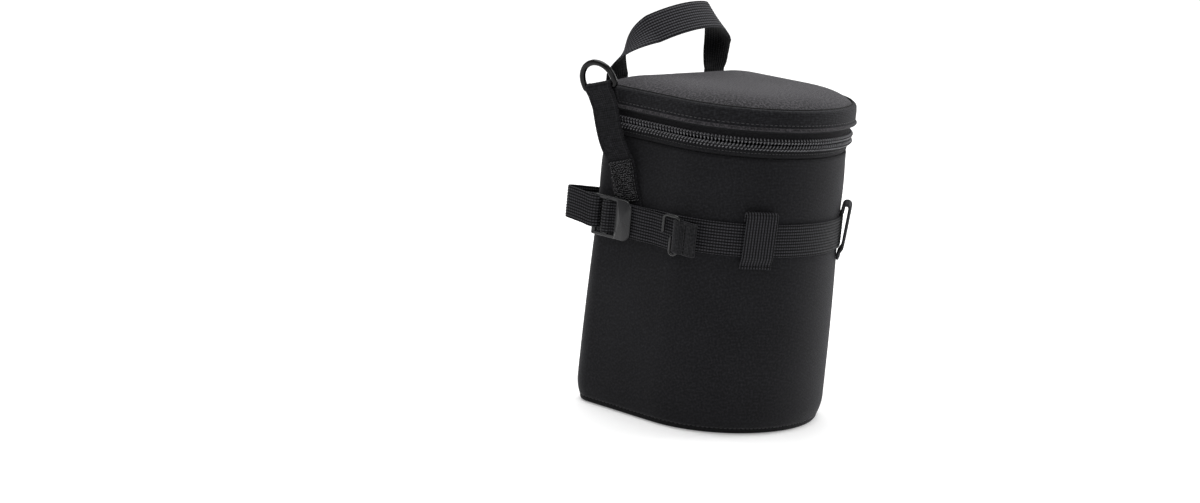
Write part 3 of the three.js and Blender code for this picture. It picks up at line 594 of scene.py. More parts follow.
def woven_cloth(name, dark, light, thread, relief, sheen, fleck, slant=0.0, roughness=0.85):
    """Woven cloth: over-and-under threads in two directions, read from the cloth's own uv in mm. A
    slant of 1 shears the grid to a twill. Single paler yarns, of strength fleck, and slow changes of
    tone break the evenness. Threads are drawn coarser than the real 0.3 mm so that they show."""
    yarn_size = 1.6 * thread
    cloud_size = 45.0
    made, tree = new_material(name)
    uv = node(tree, "ShaderNodeUVMap", uv_map="weave")
    along = node(tree, "ShaderNodeSeparateXYZ", {0: uv})
    across = along.node.outputs[1]
    sheared = node(tree, MATH, {0: across, 1: slant, 2: along}, operation="MULTIPLY_ADD")
    warp_turn = node(tree, MATH, {0: sheared, 1: math.pi / thread}, operation="MULTIPLY")
    weft_turn = node(tree, MATH, {0: across, 1: math.pi / thread}, operation="MULTIPLY")
    warp = node(tree, MATH, {0: warp_turn}, operation="SINE")
    weft = node(tree, MATH, {0: weft_turn}, operation="SINE")
    crossing = node(tree, MATH, {0: warp, 1: weft}, operation="MULTIPLY")
    grain = node(tree, MATH, {0: crossing}, operation="ABSOLUTE")
    yarn = node(tree, NOISE, {"Vector": uv, "Scale": 1 / yarn_size, "Detail": 3.0})
    slow = node(tree, NOISE, {"Vector": uv, "Scale": 1 / cloud_size, "Detail": 2.0})
    pale = node(tree, RANGE, {"Value": yarn, "From Min": 0.42, "From Max": 0.72, "To Max": fleck})
    woven = node(tree, MATH, {0: grain, 1: 0.45, 2: pale}, operation="MULTIPLY_ADD")
    cloud = node(tree, RANGE, {
        "Value": slow, "From Min": 0.3, "From Max": 0.7, "To Min": -0.08, "To Max": 0.08,
    })
    tone = node(tree, MATH, {0: woven, 1: cloud}, operation="ADD")
    tints = {SHARE: tone, DARK: linear(dark), LIGHT: linear(light)}
    colour = node(tree, MIX, tints, MIXED, data_type="RGBA")
    height = node(tree, MATH, {0: yarn, 1: 0.5, 2: grain}, operation="MULTIPLY_ADD")
    bump = node(tree, BUMP, {"Height": height, "Strength": 0.6, "Distance": relief * MM})
    skin = node(tree, SHADER, {
        "Base Color": colour, "Normal": bump, "Roughness": roughness, "Specular IOR Level": 0.12,
        "Sheen Weight": sheen, "Sheen Roughness": 0.45, "Sheen Tint": linear("#c9c8cc"),
    })
    node(tree, SURFACE, {"Surface": skin})
    return made


def ribbed_webbing(name, dark, light, gap):
    """Ribbed webbing: lengthwise ribs of short dashes, where the warp shows between two picks of the
    weft. The dashes of all ribs lie side by side, and gap is the tone between them. The pick is drawn
    at 1.7 mm instead of the real 1 mm so that it shows. The face whose uv is shifted far across is
    darkened to almost black: painted shade, standing in for the shade on the handle's inner face."""
    pick = 1.7
    rib = WEB / WEB_RIBS
    fuzz_scale = 1.4
    painted_face_shade = 0.12
    relief = 0.2
    made, tree = new_material(name)
    uv = node(tree, "ShaderNodeUVMap", uv_map="weave")
    along = node(tree, "ShaderNodeSeparateXYZ", {0: uv})
    across = along.node.outputs[1]
    pick_turn = node(tree, MATH, {0: along, 1: math.pi / pick}, operation="MULTIPLY")
    wave = node(tree, MATH, {0: pick_turn}, operation="SINE")
    rounded = node(tree, MATH, {0: wave}, operation="ABSOLUTE")
    dash = node(tree, RANGE, {"Value": rounded, "From Min": 0.3, "From Max": 0.8, "To Min": gap})
    rib_turn = node(tree, MATH, {0: across, 1: 2 * math.pi / rib, 2: math.pi}, operation="MULTIPLY_ADD")
    crest = node(tree, MATH, {0: rib_turn}, operation="COSINE")
    ridge = node(tree, RANGE, {"Value": crest, "From Min": -0.6, "From Max": 0.5})
    fuzz = node(tree, NOISE, {"Vector": uv, "Scale": fuzz_scale, "Detail": 3.0})
    woven = node(tree, MATH, {0: ridge, 1: dash}, operation="MULTIPLY")
    worn = node(tree, MATH, {0: fuzz, 1: 0.5}, operation="ADD")
    lit = node(tree, MATH, {0: woven, 1: worn}, operation="MULTIPLY")
    # Painted shade: the face whose uv is shifted far across is darkened to almost black
    on_shaded_face = node(tree, MATH, {0: across, 1: SHADED_FACE_UV / 2}, operation="GREATER_THAN")
    face_shade = node(tree, RANGE, {"Value": on_shaded_face, "To Min": 1.0, "To Max": painted_face_shade})
    tone = node(tree, MATH, {0: lit, 1: face_shade}, operation="MULTIPLY")
    tints = {SHARE: tone, DARK: linear(dark), LIGHT: linear(light)}
    colour = node(tree, MIX, tints, MIXED, data_type="RGBA")
    height = node(tree, MATH, {0: fuzz, 1: 0.4, 2: dash}, operation="MULTIPLY_ADD")
    bump = node(tree, BUMP, {"Height": height, "Strength": 0.7, "Distance": relief * MM})
    skin = node(tree, SHADER, {
        "Base Color": colour, "Normal": bump, "Roughness": 0.6, "Specular IOR Level": 0.08,
        "Sheen Weight": 0.03, "Sheen Roughness": 0.4,
    })
    node(tree, SURFACE, {"Surface": skin})
    return made


def smooth_finish(name, dark, light, grit, relief, roughness, specular=0.5):
    """A moulded, drawn or coated surface: nearly even colour, a fine grit in the relief and slow
    cloudy changes of colour and gloss, read from object coordinates."""
    cloud_size = 9.0
    uneven = 0.06
    made, tree = new_material(name)
    place = node(tree, "ShaderNodeTexCoord", output="Object")
    grain = node(tree, NOISE, {"Vector": place, "Scale": 1 / (grit * MM), "Detail": 2.0})
    cloud = node(tree, NOISE, {"Vector": place, "Scale": 1 / (cloud_size * MM), "Detail": 3.0})
    tints = {SHARE: cloud, DARK: linear(dark), LIGHT: linear(light)}
    colour = node(tree, MIX, tints, MIXED, data_type="RGBA")
    gloss = node(tree, RANGE, {
        "Value": cloud, "From Min": 0.3, "From Max": 0.7,
        "To Min": roughness - uneven, "To Max": roughness + uneven,
    })
    bump = node(tree, BUMP, {"Height": grain, "Strength": 0.35, "Distance": relief * MM})
    skin = node(tree, SHADER, {
        "Base Color": colour, "Roughness": gloss, "Normal": bump, "Specular IOR Level": specular,
    })
    node(tree, SURFACE, {"Surface": skin})
    return made


# Plain-woven 600-denier polyester, dyed black: a fine even grain with a dull sheen
BODY_CLOTH = woven_cloth(
    "body_polyester", "#0c0c0e", "#27272a", thread=0.9, relief=0.12, sheen=0.15, fleck=0.5
)
# The same polyester, coloured lighter than the body's and with stronger pale flecks: painted light,
# standing in for the light from above and the glints of sheen on the top
LID_CLOTH_PAINTED_LIGHT = woven_cloth(
    "lid_polyester_painted_light", "#0d0d0f", "#474548", thread=0.85, relief=0.16, sheen=0.2, fleck=0.9
)
# Twill-woven polyester, turned over a seam: slanting rows of thread
BAND_CLOTH = woven_cloth(
    "lid_twill", "#060608", "#28282b", thread=1.0, relief=0.25, sheen=0.15, fleck=0.7, slant=1.0
)
# Zip tape, a tight polyester twill: nearly black between the teeth
TAPE_CLOTH = woven_cloth(
    "zip_tape_twill", "#08080a", "#252527", thread=0.8, relief=0.15, sheen=0.12, fleck=0.5, slant=1.0
)
# Grosgrain binding, woven with close cross ribs and folded over an edge: dark and matt
BINDING_CLOTH = woven_cloth(
    "grosgrain_binding", "#0a0a0b", "#1d1d1f", thread=0.8, relief=0.12, sheen=0.1, fleck=0.4
)
# Nylon taffeta lining, thin and smooth: mid grey with a soft sheen
LINING_CLOTH = woven_cloth(
    "lining_taffeta", "#4b4d50", "#6d6f72", thread=0.7, relief=0.06, sheen=0.2, fleck=0.2, roughness=0.7
)
# Polyethylene foam with a knitted skin: matt and pebbled
FOAM_SKIN = woven_cloth(
    "foam_skin", "#3a3a3c", "#4c4c4e", thread=1.4, relief=0.05, sheen=0.1, fleck=0.4, roughness=0.95
)
# Nylon webbing woven flat, without ribs: fine dark grain
FLAT_WEBBING = woven_cloth(
    "flat_nylon_webbing", "#030304", "#262629", thread=1.5, relief=0.4, sheen=0.05, fleck=0.5
)
# The flat back of the strap's webbing, pressed into a hem: a shade paler
TAIL_WEBBING = woven_cloth(
    "tail_webbing", "#0c0c0e", "#39393b", thread=0.9, relief=0.15, sheen=0.1, fleck=0.35
)
# Ground cloth of hook tape: almost black below its hooks
HOOK_CLOTH = woven_cloth(
    "hook_tape_ground", "#020203", "#101011", thread=1.3, relief=0.3, sheen=0.05, fleck=0.6, slant=0.4
)
# Polypropylene webbing, woven in ribs from smooth filament: rows of dashes with a dull gloss
WEBBING = ribbed_webbing("polypropylene_webbing", "#020203", "#39393c", gap=0.25)
# The handle's length of it, a shade paler, with paler gaps. Its inner face, which gets the shifted uv,
# is painted almost black as painted shade
HANDLE_WEBBING_SHADED_INSIDE = ribbed_webbing("handle_webbing_shaded_inside", "#040405", "#48484c", gap=0.35)
# The same webbing in a finer weave: its ribs show as nearly unbroken lines
LOOP_WEBBING = ribbed_webbing("loop_webbing", "#020203", "#363639", gap=0.55)
# Acetal, moulded against a finely etched steel tool: dark grey, satin
ACETAL = smooth_finish(
    "moulded_acetal", "#161618", "#1e1e20", grit=0.35, relief=0.02, roughness=0.28, specular=0.36
)
# Steel wire under black enamel: a dark gloss with narrow highlights
BLACK_WIRE = smooth_finish(
    "black_enamelled_wire", "#050506", "#0b0b0c", grit=0.5, relief=0.01, roughness=0.12, specular=0.2
)
# Spring wire with a thin phosphate coat: dark grey with a soft gloss
CLIP_STEEL = smooth_finish(
    "phosphated_wire", "#111112", "#1c1c1d", grit=0.5, relief=0.01, roughness=0.2, specular=0.4
)
# Nylon filament, drawn and wound to a coil, coloured mid grey, far paler than the black tape: painted
# highlight, standing in for the light that each turn catches
COIL_NYLON_PAINTED_HIGHLIGHT = smooth_finish(
    "nylon_coil_painted_highlight", "#606063", "#7e7e81", grit=0.6, relief=0.01, roughness=0.3, specular=0.25
)
# Nylon filament of the hooks, cut and curled over by heat, coloured grey to pale: painted glints,
# standing in for the light caught on the curled hooks
HOOK_NYLON_PAINTED_GLINT = smooth_finish(
    "hook_nylon_painted_glint", "#262628", "#767678", grit=0.8, relief=0.01, roughness=0.35, specular=0.25
)
# Spun polyester sewing thread: a shade paler than the cloth
THREAD = smooth_finish("polyester_thread", "#1d1d1f", "#3a3a3c", grit=0.3, relief=0.03, roughness=0.5)
# Waxed black thread for the dark stitch rows. The same near-black colours the cord in the lid's seam, a
# painted shadow line that stands in for the shade in the groove
DARK_THREAD_AND_SEAM_SHADOW = smooth_finish(
    "waxed_thread_and_seam_shadow", "#020203", "#080809", grit=0.3, relief=0.03, roughness=0.6, specular=0.1
)


def fit(thing, material, body, slot, *nodes):
    """Gives a piece its material and the body it rides on, and hides the solids it stands for. Slot is
    not used.
    """
    thing.data.materials.clear()
    thing.data.materials.append(material)
    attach(thing, body)
    if nodes:
        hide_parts(*nodes)
    return thing


# Camera, light and floor


def turned_to(right, up, back, place):
    """The matrix of a camera or lamp that looks against its back direction, from a place in metres."""
    turn = Matrix(np.stack([right, up, back], -1).tolist()).to_4x4()
    return Matrix.Translation(place) @ turn


def set_camera():
    """The photograph's camera: a 78 mm lens on a 36 mm frame, turned about the target by azimuth,
    elevation and roll."""
    azimuth = math.radians(-50.0)
    elevation = math.radians(11.307)
    roll = math.radians(5.515)
    target = np.array([-130.81, 0.0, 112.376])
    distance = 1513.84
    level = math.cos(elevation)
    back = np.array([math.sin(azimuth) * level, -math.cos(azimuth) * level, math.sin(elevation)])
    right = np.array([math.cos(azimuth), math.sin(azimuth), 0.0])
    up = np.cross(back, right)
    turned_right = right * math.cos(roll) + up * math.sin(roll)
    turned_up = up * math.cos(roll) - right * math.sin(roll)
    lens = bpy.data.cameras.new("photo_camera")
    lens.lens = 78.0
    lens.sensor_width = 36.0
    lens.sensor_fit = "HORIZONTAL"
    lens.clip_start = 0.05
    camera = bpy.data.objects.new("photo_camera", lens)
    place = ((target + back * distance) * MM).tolist()
    camera.matrix_world = turned_to(turned_right, turned_up, back, place)
    bpy.context.scene.collection.objects.link(camera)
    bpy.context.scene.camera = camera


def add_lamp(name, place, aim, size, power):
    """A soft rectangular lamp in metres, turned to face its aim."""
    lamp = bpy.data.lights.new(name, "AREA")
    lamp.shape = "RECTANGLE"
    lamp.size = size[0]
    lamp.size_y = size[1]
    lamp.energy = power
    thing = bpy.data.objects.new(name, lamp)
    back = unit(np.array(place) - np.array(aim))
    side = unit(np.cross([0.0, 0.0, 1.0], back) + [1e-6, 0, 0])
    thing.matrix_world = turned_to(side, np.cross(back, side), back, place)
    bpy.context.scene.collection.objects.link(thing)


def floor_card():
    """Pale card with a faint mottle. Towards the camera, and in mirrors, it glows up to white, more so
    far from the object, so that the object's shadow stays."""
    made, tree = new_material("floor_card")
    place = node(tree, "ShaderNodeTexCoord", output="Object")
    mottle = node(tree, NOISE, {"Vector": place, "Scale": 3.0})
    tints = {SHARE: mottle, DARK: linear("#eeeeee"), LIGHT: linear("#f2f2f2")}
    colour = node(tree, MIX, tints, MIXED, data_type="RGBA")
    camera = node(tree, "ShaderNodeLightPath", output="Is Camera Ray")
    mirrored = camera.node.outputs["Is Glossy Ray"]
    through = camera.node.outputs["Is Transmission Ray"]
    looked = node(tree, MATH, {0: camera, 1: mirrored}, operation="MAXIMUM")
    seen = node(tree, MATH, {0: looked, 1: through}, operation="MAXIMUM")
    away = node(tree, "ShaderNodeVectorMath", {0: place}, "Value", operation="LENGTH")
    fade = node(tree, RANGE, {
        "Value": away, "From Min": 0.3, "From Max": 2.5, "To Min": 0.25, "To Max": 0.7,
    })
    glow = node(tree, MATH, {0: seen, 1: fade}, operation="MULTIPLY")
    card = node(tree, SHADER, {
        "Base Color": colour, "Roughness": 0.9, "Specular IOR Level": 0.1,
        "Emission Color": (1, 1, 1, 1), "Emission Strength": glow,
    })
    node(tree, SURFACE, {"Surface": card})
    return made


def set_stage():
    """A wide pale floor, an even pale surround and three soft lamps."""
    reach = 12000.0
    below = -0.2
    scene = bpy.context.scene
    scene.view_settings.view_transform = "Standard"
    world = bpy.data.worlds.new("studio")
    scene.world = world
    world.use_nodes = True
    world.node_tree.nodes.clear()
    light = node(world.node_tree, "ShaderNodeBackground", {"Color": (1, 1, 1, 1), "Strength": 0.42})
    node(world.node_tree, "ShaderNodeOutputWorld", {"Surface": light})
    points = raised(rectangle(-reach, reach, -reach, reach), below)
    mesh = bpy.data.meshes.new("floor")
    mesh.from_pydata((points * MM).tolist(), [], [(0, 1, 2, 3)])
    floor = bpy.data.objects.new("floor", mesh)
    floor.data.materials.append(floor_card())
    scene.collection.objects.link(floor)
    add_lamp("overhead_softbox", (0.1, 0.35, 1.5), aim=(0, 0, 0.15), size=(1.6, 1.2), power=26)
    add_lamp("right_softbox", (1.4, -0.5, 0.8), aim=(0, 0, 0.1), size=(0.7, 1.2), power=12)
    add_lamp("front_fill", (-1.3, -1.3, 0.9), aim=(0, 0, 0.1), size=(1.2, 1.2), power=8)


set_camera()
set_stage()


# Body: outer wall, lining, padding and base

LINING_OUT = -FABRIC - CLEAR - FOAM - CLEAR
BASE_SEAM = wall_at(0)


def body_bulge(along, z):
    """How the padded wall swells: a half sine between the base seam and the strap, a flatter one
    between the strap and the rim, drawn in under the strap, with slow unevenness that calms down
    towards the seam and the rim."""
    seam_top = 8.0
    rim_low = RIM - 6.0
    strap_low = BAND_HEIGHT - 14.0
    strap_high = BAND_HEIGHT + 14.0
    low = np.clip((z - seam_top) / (strap_low - seam_top), 0, 1)
    high = np.clip((z - strap_high) / (rim_low - strap_high), 0, 1)
    swell = 0.5 * np.sin(np.pi * low) + 0.35 * np.sin(np.pi * high)
    calm = np.clip((z - 6) / 12, 0, 1) * np.clip((RIM - 3 - z) / 10, 0, 1)
    strap = np.exp(-(((z - BAND_HEIGHT) / 13) ** 4))
    uneven = 0.28 * ripple(along, z, seed=4, size=90) * calm * (1 - strap)
    return swell * (1 - strap) + uneven - 0.12 * strap


def body_wall():
    """The outer cloth as a closed skin: up the outside, over a soft fold at the rim and down the
    inside."""
    bottom = 3.9
    fold_low = RIM - 0.7
    outer_z = np.linspace(bottom, fold_low, 120)
    outer = np.stack([wall_at(outer_z), outer_z], -1)
    fold = arc(wall_at(RIM) - FABRIC / 2, fold_low, FABRIC / 2, 0, 180, 9)
    inner_z = np.linspace(RIM - FABRIC, bottom, 40)
    inner = np.stack([wall_at(inner_z) - FABRIC, inner_z], -1)
    skin = hoop("body_wall", np.vstack([outer, fold, inner]), body_bulge, count=520)
    fit(skin, BODY_CLOTH, "pouch", "fabric", "outer_shell")


def cup_lining():
    """The lining as a cup: a wall with some slack, a rounded foot and a floor, doubled to its
    thickness. Each ring of points runs from the rim down to the middle of the floor and back up."""
    foot = 4.0
    slack_depth = 0.3
    along = plan_steps(240)
    wall_z = np.linspace(PAD_TOP, FLOOR + foot, 40)
    wall = np.stack([np.full(len(wall_z), LINING_OUT), wall_z], -1)
    out, z = np.vstack([wall, arc(LINING_OUT - foot, FLOOR + foot, foot, 0, -90, 9)[1:]]).T
    held = np.clip((PAD_TOP - z) / 20, 0, 1)
    slack = slack_depth * (ripple(along[:, None], z, seed=9, size=60) - 1) * held
    outside = around(along[:, None], out + wall_at(z) + slack, z)
    shares = np.array([0.75, 0.45, 0.15, 0.02])
    floor = raised(outside[:, -1:, :2] * shares[:, None], FLOOR)
    shell = np.concatenate([outside, floor], 1)
    inward = raised(-stations(along)[1], 0)[:, None]
    on_floor = np.arange(shell.shape[1])[:, None] >= len(z)
    inside = shell + LINING * np.where(on_floor, [0, 0, 1], inward)
    both = np.concatenate([shell, inside[:, ::-1]], 1)
    uv = uv_grid(np.append(along, PLAN_LENGTH), np.append(lengths(both[0]), 0))
    fit(grid("inner_lining_cup", both, uv, True), LINING_CLOTH, "pouch", "lining", "inner_lining")


def layer_section(near, far, bottom, top):
    """Corners of the section of a layer between two offsets and two heights."""
    return rectangle(bottom, top, near, far)[:, ::-1]


def padding():
    """The foam of the wall, which follows its lean, and of the base."""
    near = -FABRIC - CLEAR
    outline = soft_outline(layer_section(near, near - FOAM, FLOOR, PAD_TOP), radius=1.5, step=12)
    outline[:, 0] += wall_at(outline[:, 1])
    pad = hoop("wall_pad", outline, count=240)
    fit(pad, FOAM_SKIN, "pouch", "foam", "wall_padding")
    foot = filled_disc("base_pad", BASE_SEAM - 2.5, BASE_THICK + CLEAR, FLOOR - CLEAR, edge=1.2)
    fit(foot, FOAM_SKIN, "pouch", "foam", "base_padding")


def seam_waver(along, z):
    """The base seam wavers in and out by a tenth of a millimetre, alike over its height."""
    return 0.1 * ripple(along, z * 0, seed=12, size=30)


def base_and_rim():
    """The base cloth, the bound seam round it, and the roll of binding on top of the padded wall."""
    sole = filled_disc("base_cloth", BASE_SEAM - 1.6, 0.0, BASE_THICK, edge=0.5)
    fit(sole, BODY_CLOTH, "pouch", "fabric", "base_panel")
    low = 0.4
    high = 4.4
    inner = BASE_SEAM - 2.2
    corners = [[inner, low], [BASE_SEAM + 1.0, low], [BASE_SEAM + 1.8, high], [inner, high]]
    bead = soft_outline(corners, radius=[0.5, 1.3, 1.3, 0.5], step=0.8)
    fit(hoop("base_seam_binding", bead, seam_waver), BINDING_CLOTH, "pouch", "tape", "base_binding")
    near = TAPE_BELOW_OUT - TAPE_THICK - CLEAR
    far = wall_at(RIM) + LINING_OUT - LINING
    section = layer_section(near, far, PAD_TOP + CLEAR, RIM)
    roll = soft_outline(section, radius=[0.4, 2.0, 2.0, 0.4], step=1.0)
    fit(hoop("rim_roll", roll, count=300), BINDING_CLOTH, "pouch", "tape", "rim_binding")


body_wall()
cup_lining()
padding()
base_and_rim()


# Zip: tapes, coils, hinge cloth, slider and pull

# Outer faces of the two tapes as (out, z): sewn in behind the cloth, with a step towards the chain
FACE_BELOW = [
    [TAPE_BELOW_OUT, PAD_TOP + 0.6],
    [TAPE_BELOW_OUT, RIM + 0.3],
    [TAPE_OUT, RIM + 1.7],
]
FACE_ABOVE = [
    [TAPE_ABOVE_OUT, LID_SEAM - 0.6],
    [TAPE_ABOVE_OUT, LID_EDGE - 0.3],
    [TAPE_OUT, LID_EDGE - 1.9],
]
# The two halves: place, level in the source, body, face of the tape, and side of the zip's line
ZIP_HALVES = (
    ("below", "lower", "pouch", FACE_BELOW, -1),
    ("above", "upper", "lid", FACE_ABOVE, 1),
)


def tape_outline(face, edge):
    """A tape's outline from its outer face and the height of its edge at the chain: along the face,
    and back along the same line set in by the thickness, with its two bends a little higher."""
    front = np.array([*face, [TAPE_OUT, edge]])
    back = front[::-1] - [TAPE_THICK, 0]
    back[1:3, 1] += TAPE_THICK / 3
    return soft_outline(np.vstack([front, back]), radius=0.42, step=1.4, count=4)


def coil(name, middle, lean):
    """One half of a coil zip: a wire wound round a flattened tube that follows the plan. The turn
    leans one way or the other, so the two halves make a herringbone on the face, and one half
    starts half a pitch later, so that their teeth lie between each other. Each ring of the wire
    lies across its path, with one direction away from the tube's middle. The wire thins towards the
    back, where it is sewn down into the tape. The pitch is drawn wider than real so that the turns
    show."""
    slant = 0.65
    half_depth = 0.85
    half_height = 1.55
    steps = 10
    first = HINGE_HALF + COIL_PITCH * (1 + lean) / 4
    turns = int((PLAN_LENGTH - 2 * HINGE_HALF) / COIL_PITCH) - 1
    turn = np.linspace(0, 2 * np.pi * turns, turns * steps + 1)
    along = first + COIL_PITCH * turn / (2 * np.pi) + lean * slant * np.sin(turn)
    centres = around(along, COIL_OUT + half_depth * np.cos(turn), middle + half_height * np.sin(turn))
    path = unit(np.gradient(centres, axis=0))
    away = centres - around(along, COIL_OUT, middle)
    lift = unit(away - path * (away * path).sum(-1, keepdims=True))
    size = COIL_WIRE * (0.65 + 0.35 * np.cos(turn))
    return wire(name, centres, size, np.cross(path, lift), lift, 5)


def coil_cord(name, middle):
    """The cord sewn over the turns of a coil: a small bar that follows the plan on their face."""
    face = COIL_OUT + 1.2
    corners = rectangle(face, face + 0.35, middle - 0.3, middle + 0.3)
    outline = soft_outline(corners, radius=0.12, step=1.0, count=3)
    return strip(name, outline, HINGE_HALF + 1, PLAN_LENGTH - HINGE_HALF - 1)


def zip_tapes():
    """The tape of each half, from one end of the hinge round the front to the other."""
    chain_gap = 1.0
    for place, level, body, face, side in ZIP_HALVES:
        outline = tape_outline(face, ZIP_LINE + side * chain_gap)
        tape = strip(f"zip_tape_{place}", outline, HINGE_HALF, PLAN_LENGTH - HINGE_HALF)
        fit(tape, TAPE_CLOTH, body, "tape", f"zip_tape_{level}")


def zip_chain():
    """The coils of both halves, and then the cords sewn over them."""
    coil_away = 1.95
    cord_away = 2.15
    for place, level, body, _, side in ZIP_HALVES:
        teeth = coil(f"zip_teeth_{place}", ZIP_LINE + side * coil_away, -side)
        # The coil's mid grey is painted highlight on its turns
        fit(teeth, COIL_NYLON_PAINTED_HIGHLIGHT, body, "coil", f"zip_coil_{level}")
    for place, _, body, _, side in ZIP_HALVES:
        cord = coil_cord(f"coil_cord_{place}", ZIP_LINE + side * cord_away)
        fit(cord, TAPE_CLOTH, body, "tape")


def hinge_cloth():
    """The cloth across the back between the zip's ends, which bends between body and lid: a soft
    path through both tapes' faces, and the same set in by the thickness."""
    face = even_path([*FACE_BELOW, *FACE_ABOVE[::-1]], 0.3, soften=0.8)
    outline = np.vstack([face, face[::-1] - [TAPE_THICK, 0]])
    first = PLAN_LENGTH - HINGE_HALF + CLEAR
    last = PLAN_LENGTH + HINGE_HALF - CLEAR
    hinge = strip("hinge_cloth", outline, first, last, step=3.0)
    hinge.data.materials.append(TAPE_CLOTH)
    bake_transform(hinge)
    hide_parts("hinge_strip_lower", "hinge_strip_upper")


def right_side(local):
    """Local points on the right side, with X to the back, Y up and Z outwards, in the part's frame."""
    x, y, z = np.moveaxis(local, -1, 0)
    return np.stack([HALF_WIDTH + z, SLIDER_Y + x, ZIP_LINE + y], -1)


def slider():
    """A zip slider: two shield-shaped plates, the post between them and the bail on top."""
    tail = -6.5
    nose = 6.5
    half = 4.5
    shield = [[tail, -half], [0.5, -half], [nose, -2.4], [nose, 2.4], [0.5, half], [tail, half]]
    outline = soft_outline(shield, radius=[1.4, 3.0, 0.9, 0.9, 3.0, 1.4], step=1.2)
    top = plate("slider_top", outline, 0.1, 1.3, edge=0.4, place=right_side, crown=0.15)
    under = plate("slider_under", outline, -5.3, -4.1, edge=0.4, place=right_side)
    post_outline = soft_outline(rectangle(tail + 0.1, -3.5, -0.3, 0.3), radius=0.2, step=0.6)
    post = plate("slider_post", post_outline, -4.6, 0.9, edge=0.1, place=right_side)
    rise = np.array([[-3.5, 0, 0.7], [-3.5, 0, BAIL_OUT - 0.8], [-2.7, 0, BAIL_OUT]])
    loop = np.vstack([rise, (rise * [-1, 1, 1])[::-1]])
    line = right_side(even_path(loop, 0.3, soften=0.35))
    bail = tube("slider_bail", line, radius=0.7, normal=UP)
    made = join("zip_slider_body", [top, under, post, bail])
    fit(made, BLACK_WIRE, "zip_slider", "black_metal", "zip_slider")


def on_bail(local):
    """Local points of the pull, measured from the bail's bar."""
    return right_side(local + [0, 0, BAIL_OUT])


def pull():
    """The leaf-shaped pull, with an eye of three rings round the bail."""
    eye = 1.55
    neck = [[-1.5, -1.6], [-1.5, -4.2], [-3.0, -10.0], [-3.0, -24.0]]
    leaf_corners = np.vstack([neck, (np.array(neck) * [-1, 1])[::-1]])
    radii = [0.2, 1.5, 2.5, 2.9, 2.9, 2.5, 1.5, 0.2]
    outline = soft_outline(leaf_corners, radii, step=0.9)
    pieces = [plate("pull_leaf", outline, -0.65, 0.65, edge=0.35, place=on_bail)]
    ring = arc(0, 0, eye, 0, 360, 33)[:-1]
    line = on_bail(np.stack([np.zeros(len(ring)), ring[:, 0], ring[:, 1]], -1))
    for k, offset in enumerate((-1.0, 0.0, 1.0)):
        centres = line + [0, offset, 0]
        pieces.append(tube(f"pull_eye_{k}", centres, radius=0.52, normal=BACK, sides=10, closed=True))
    fit(join("zip_pull_leaf", pieces), BLACK_WIRE, "zip_pull", "black_metal", "zip_pull")


zip_tapes()
zip_chain()
hinge_cloth()
slider()
pull()


# Lid: side, lip, crowned top, padding and lining

LID_FOLD = LID_EDGE + 0.7
LID_SHOULDER = 2.4
LID_ROLL = 1.5


def lid_waver(along, z):
    """Slow small waves in the lid's side, and its lower edge, which turns out as a parabola to a lip,
    except at the back where the handle is sewn on."""
    from_back = np.minimum(along, PLAN_LENGTH - along)
    lip = np.clip((LID_FOLD + LIP_HEIGHT - z) / LIP_HEIGHT, 0, 1) ** 2
    uneven = 0.15 * ripple(along, z, seed=21, size=40)
    return uneven + LIP_OUT * lip * smooth_rise(from_back, start=75, reach=20)


def lid_face():
    """The lid's side as seen, as (out, z): slightly swollen as a half sine, up to its shoulder."""
    z = np.linspace(LID_FOLD, LID_SEAM - LID_SHOULDER, 24)
    share = (z - LID_EDGE) / (LID_SEAM - LID_EDGE)
    return np.stack([LID_OUT + 0.5 * np.sin(np.pi * share), z], -1)


def lid_shoulder():
    """The round shoulder above the lid's side, as (out, z), up to the seam."""
    corner_out = lid_face()[-1, 0] - LID_SHOULDER
    return arc(corner_out, LID_SEAM - LID_SHOULDER, LID_SHOULDER, 0, 80, 11)[1:]


SEAM_OUT = lid_shoulder()[-1, 0]


def lid_side():
    """The side's cloth, folded under at the lower edge and tucked in at the seam, a lip of the top's
    cloth along the edge, coloured lighter as painted light, and a near-black cord in the seam: a
    painted shadow line."""
    shoulder = lid_shoulder()
    fold_out = LID_OUT - FABRIC / 2
    fold = arc(fold_out, LID_FOLD, FABRIC / 2 + 0.1, -180, 0, 9)
    tuck = shoulder[-1] + [[-0.35, -0.3], [-0.5, -1.2]]
    inner_z = np.linspace(LID_SEAM - 2.2, LID_EDGE + 1, 12)
    inner = np.stack([np.full(len(inner_z), LID_OUT - 2 * FABRIC), inner_z], -1)
    outline = np.vstack([fold, lid_face(), shoulder, tuck, inner])
    fit(hoop("lid_side", outline, lid_waver, count=520), BAND_CLOTH, "lid", "fabric", "lid_band")
    # The lip is made of the top's cloth, whose extra lightness is painted light
    turned_edge = arc(fold_out, LID_FOLD, FABRIC / 2 + 0.35, -180, 0, 11)
    ledge = np.array([[LID_OUT + 0.45, 1.5], [LID_OUT + 0.2, 1.9], [-1.0, 1.9]]) + [0, LID_EDGE]
    lip = hoop("lid_lip", np.vstack([turned_edge, ledge]), lid_waver, count=520)
    fit(lip, LID_CLOTH_PAINTED_LIGHT, "lid", "fabric")
    # Painted shadow: a near-black cord in the seam between side and top, standing in for the shade in
    # the groove
    cord = arc(SEAM_OUT - 0.5, LID_SEAM - 0.05, 0.6, 0, 360, 11)[:-1]
    fit(hoop("lid_seam_shadow_cord", cord), DARK_THREAD_AND_SEAM_SHADOW, "lid", "fabric")


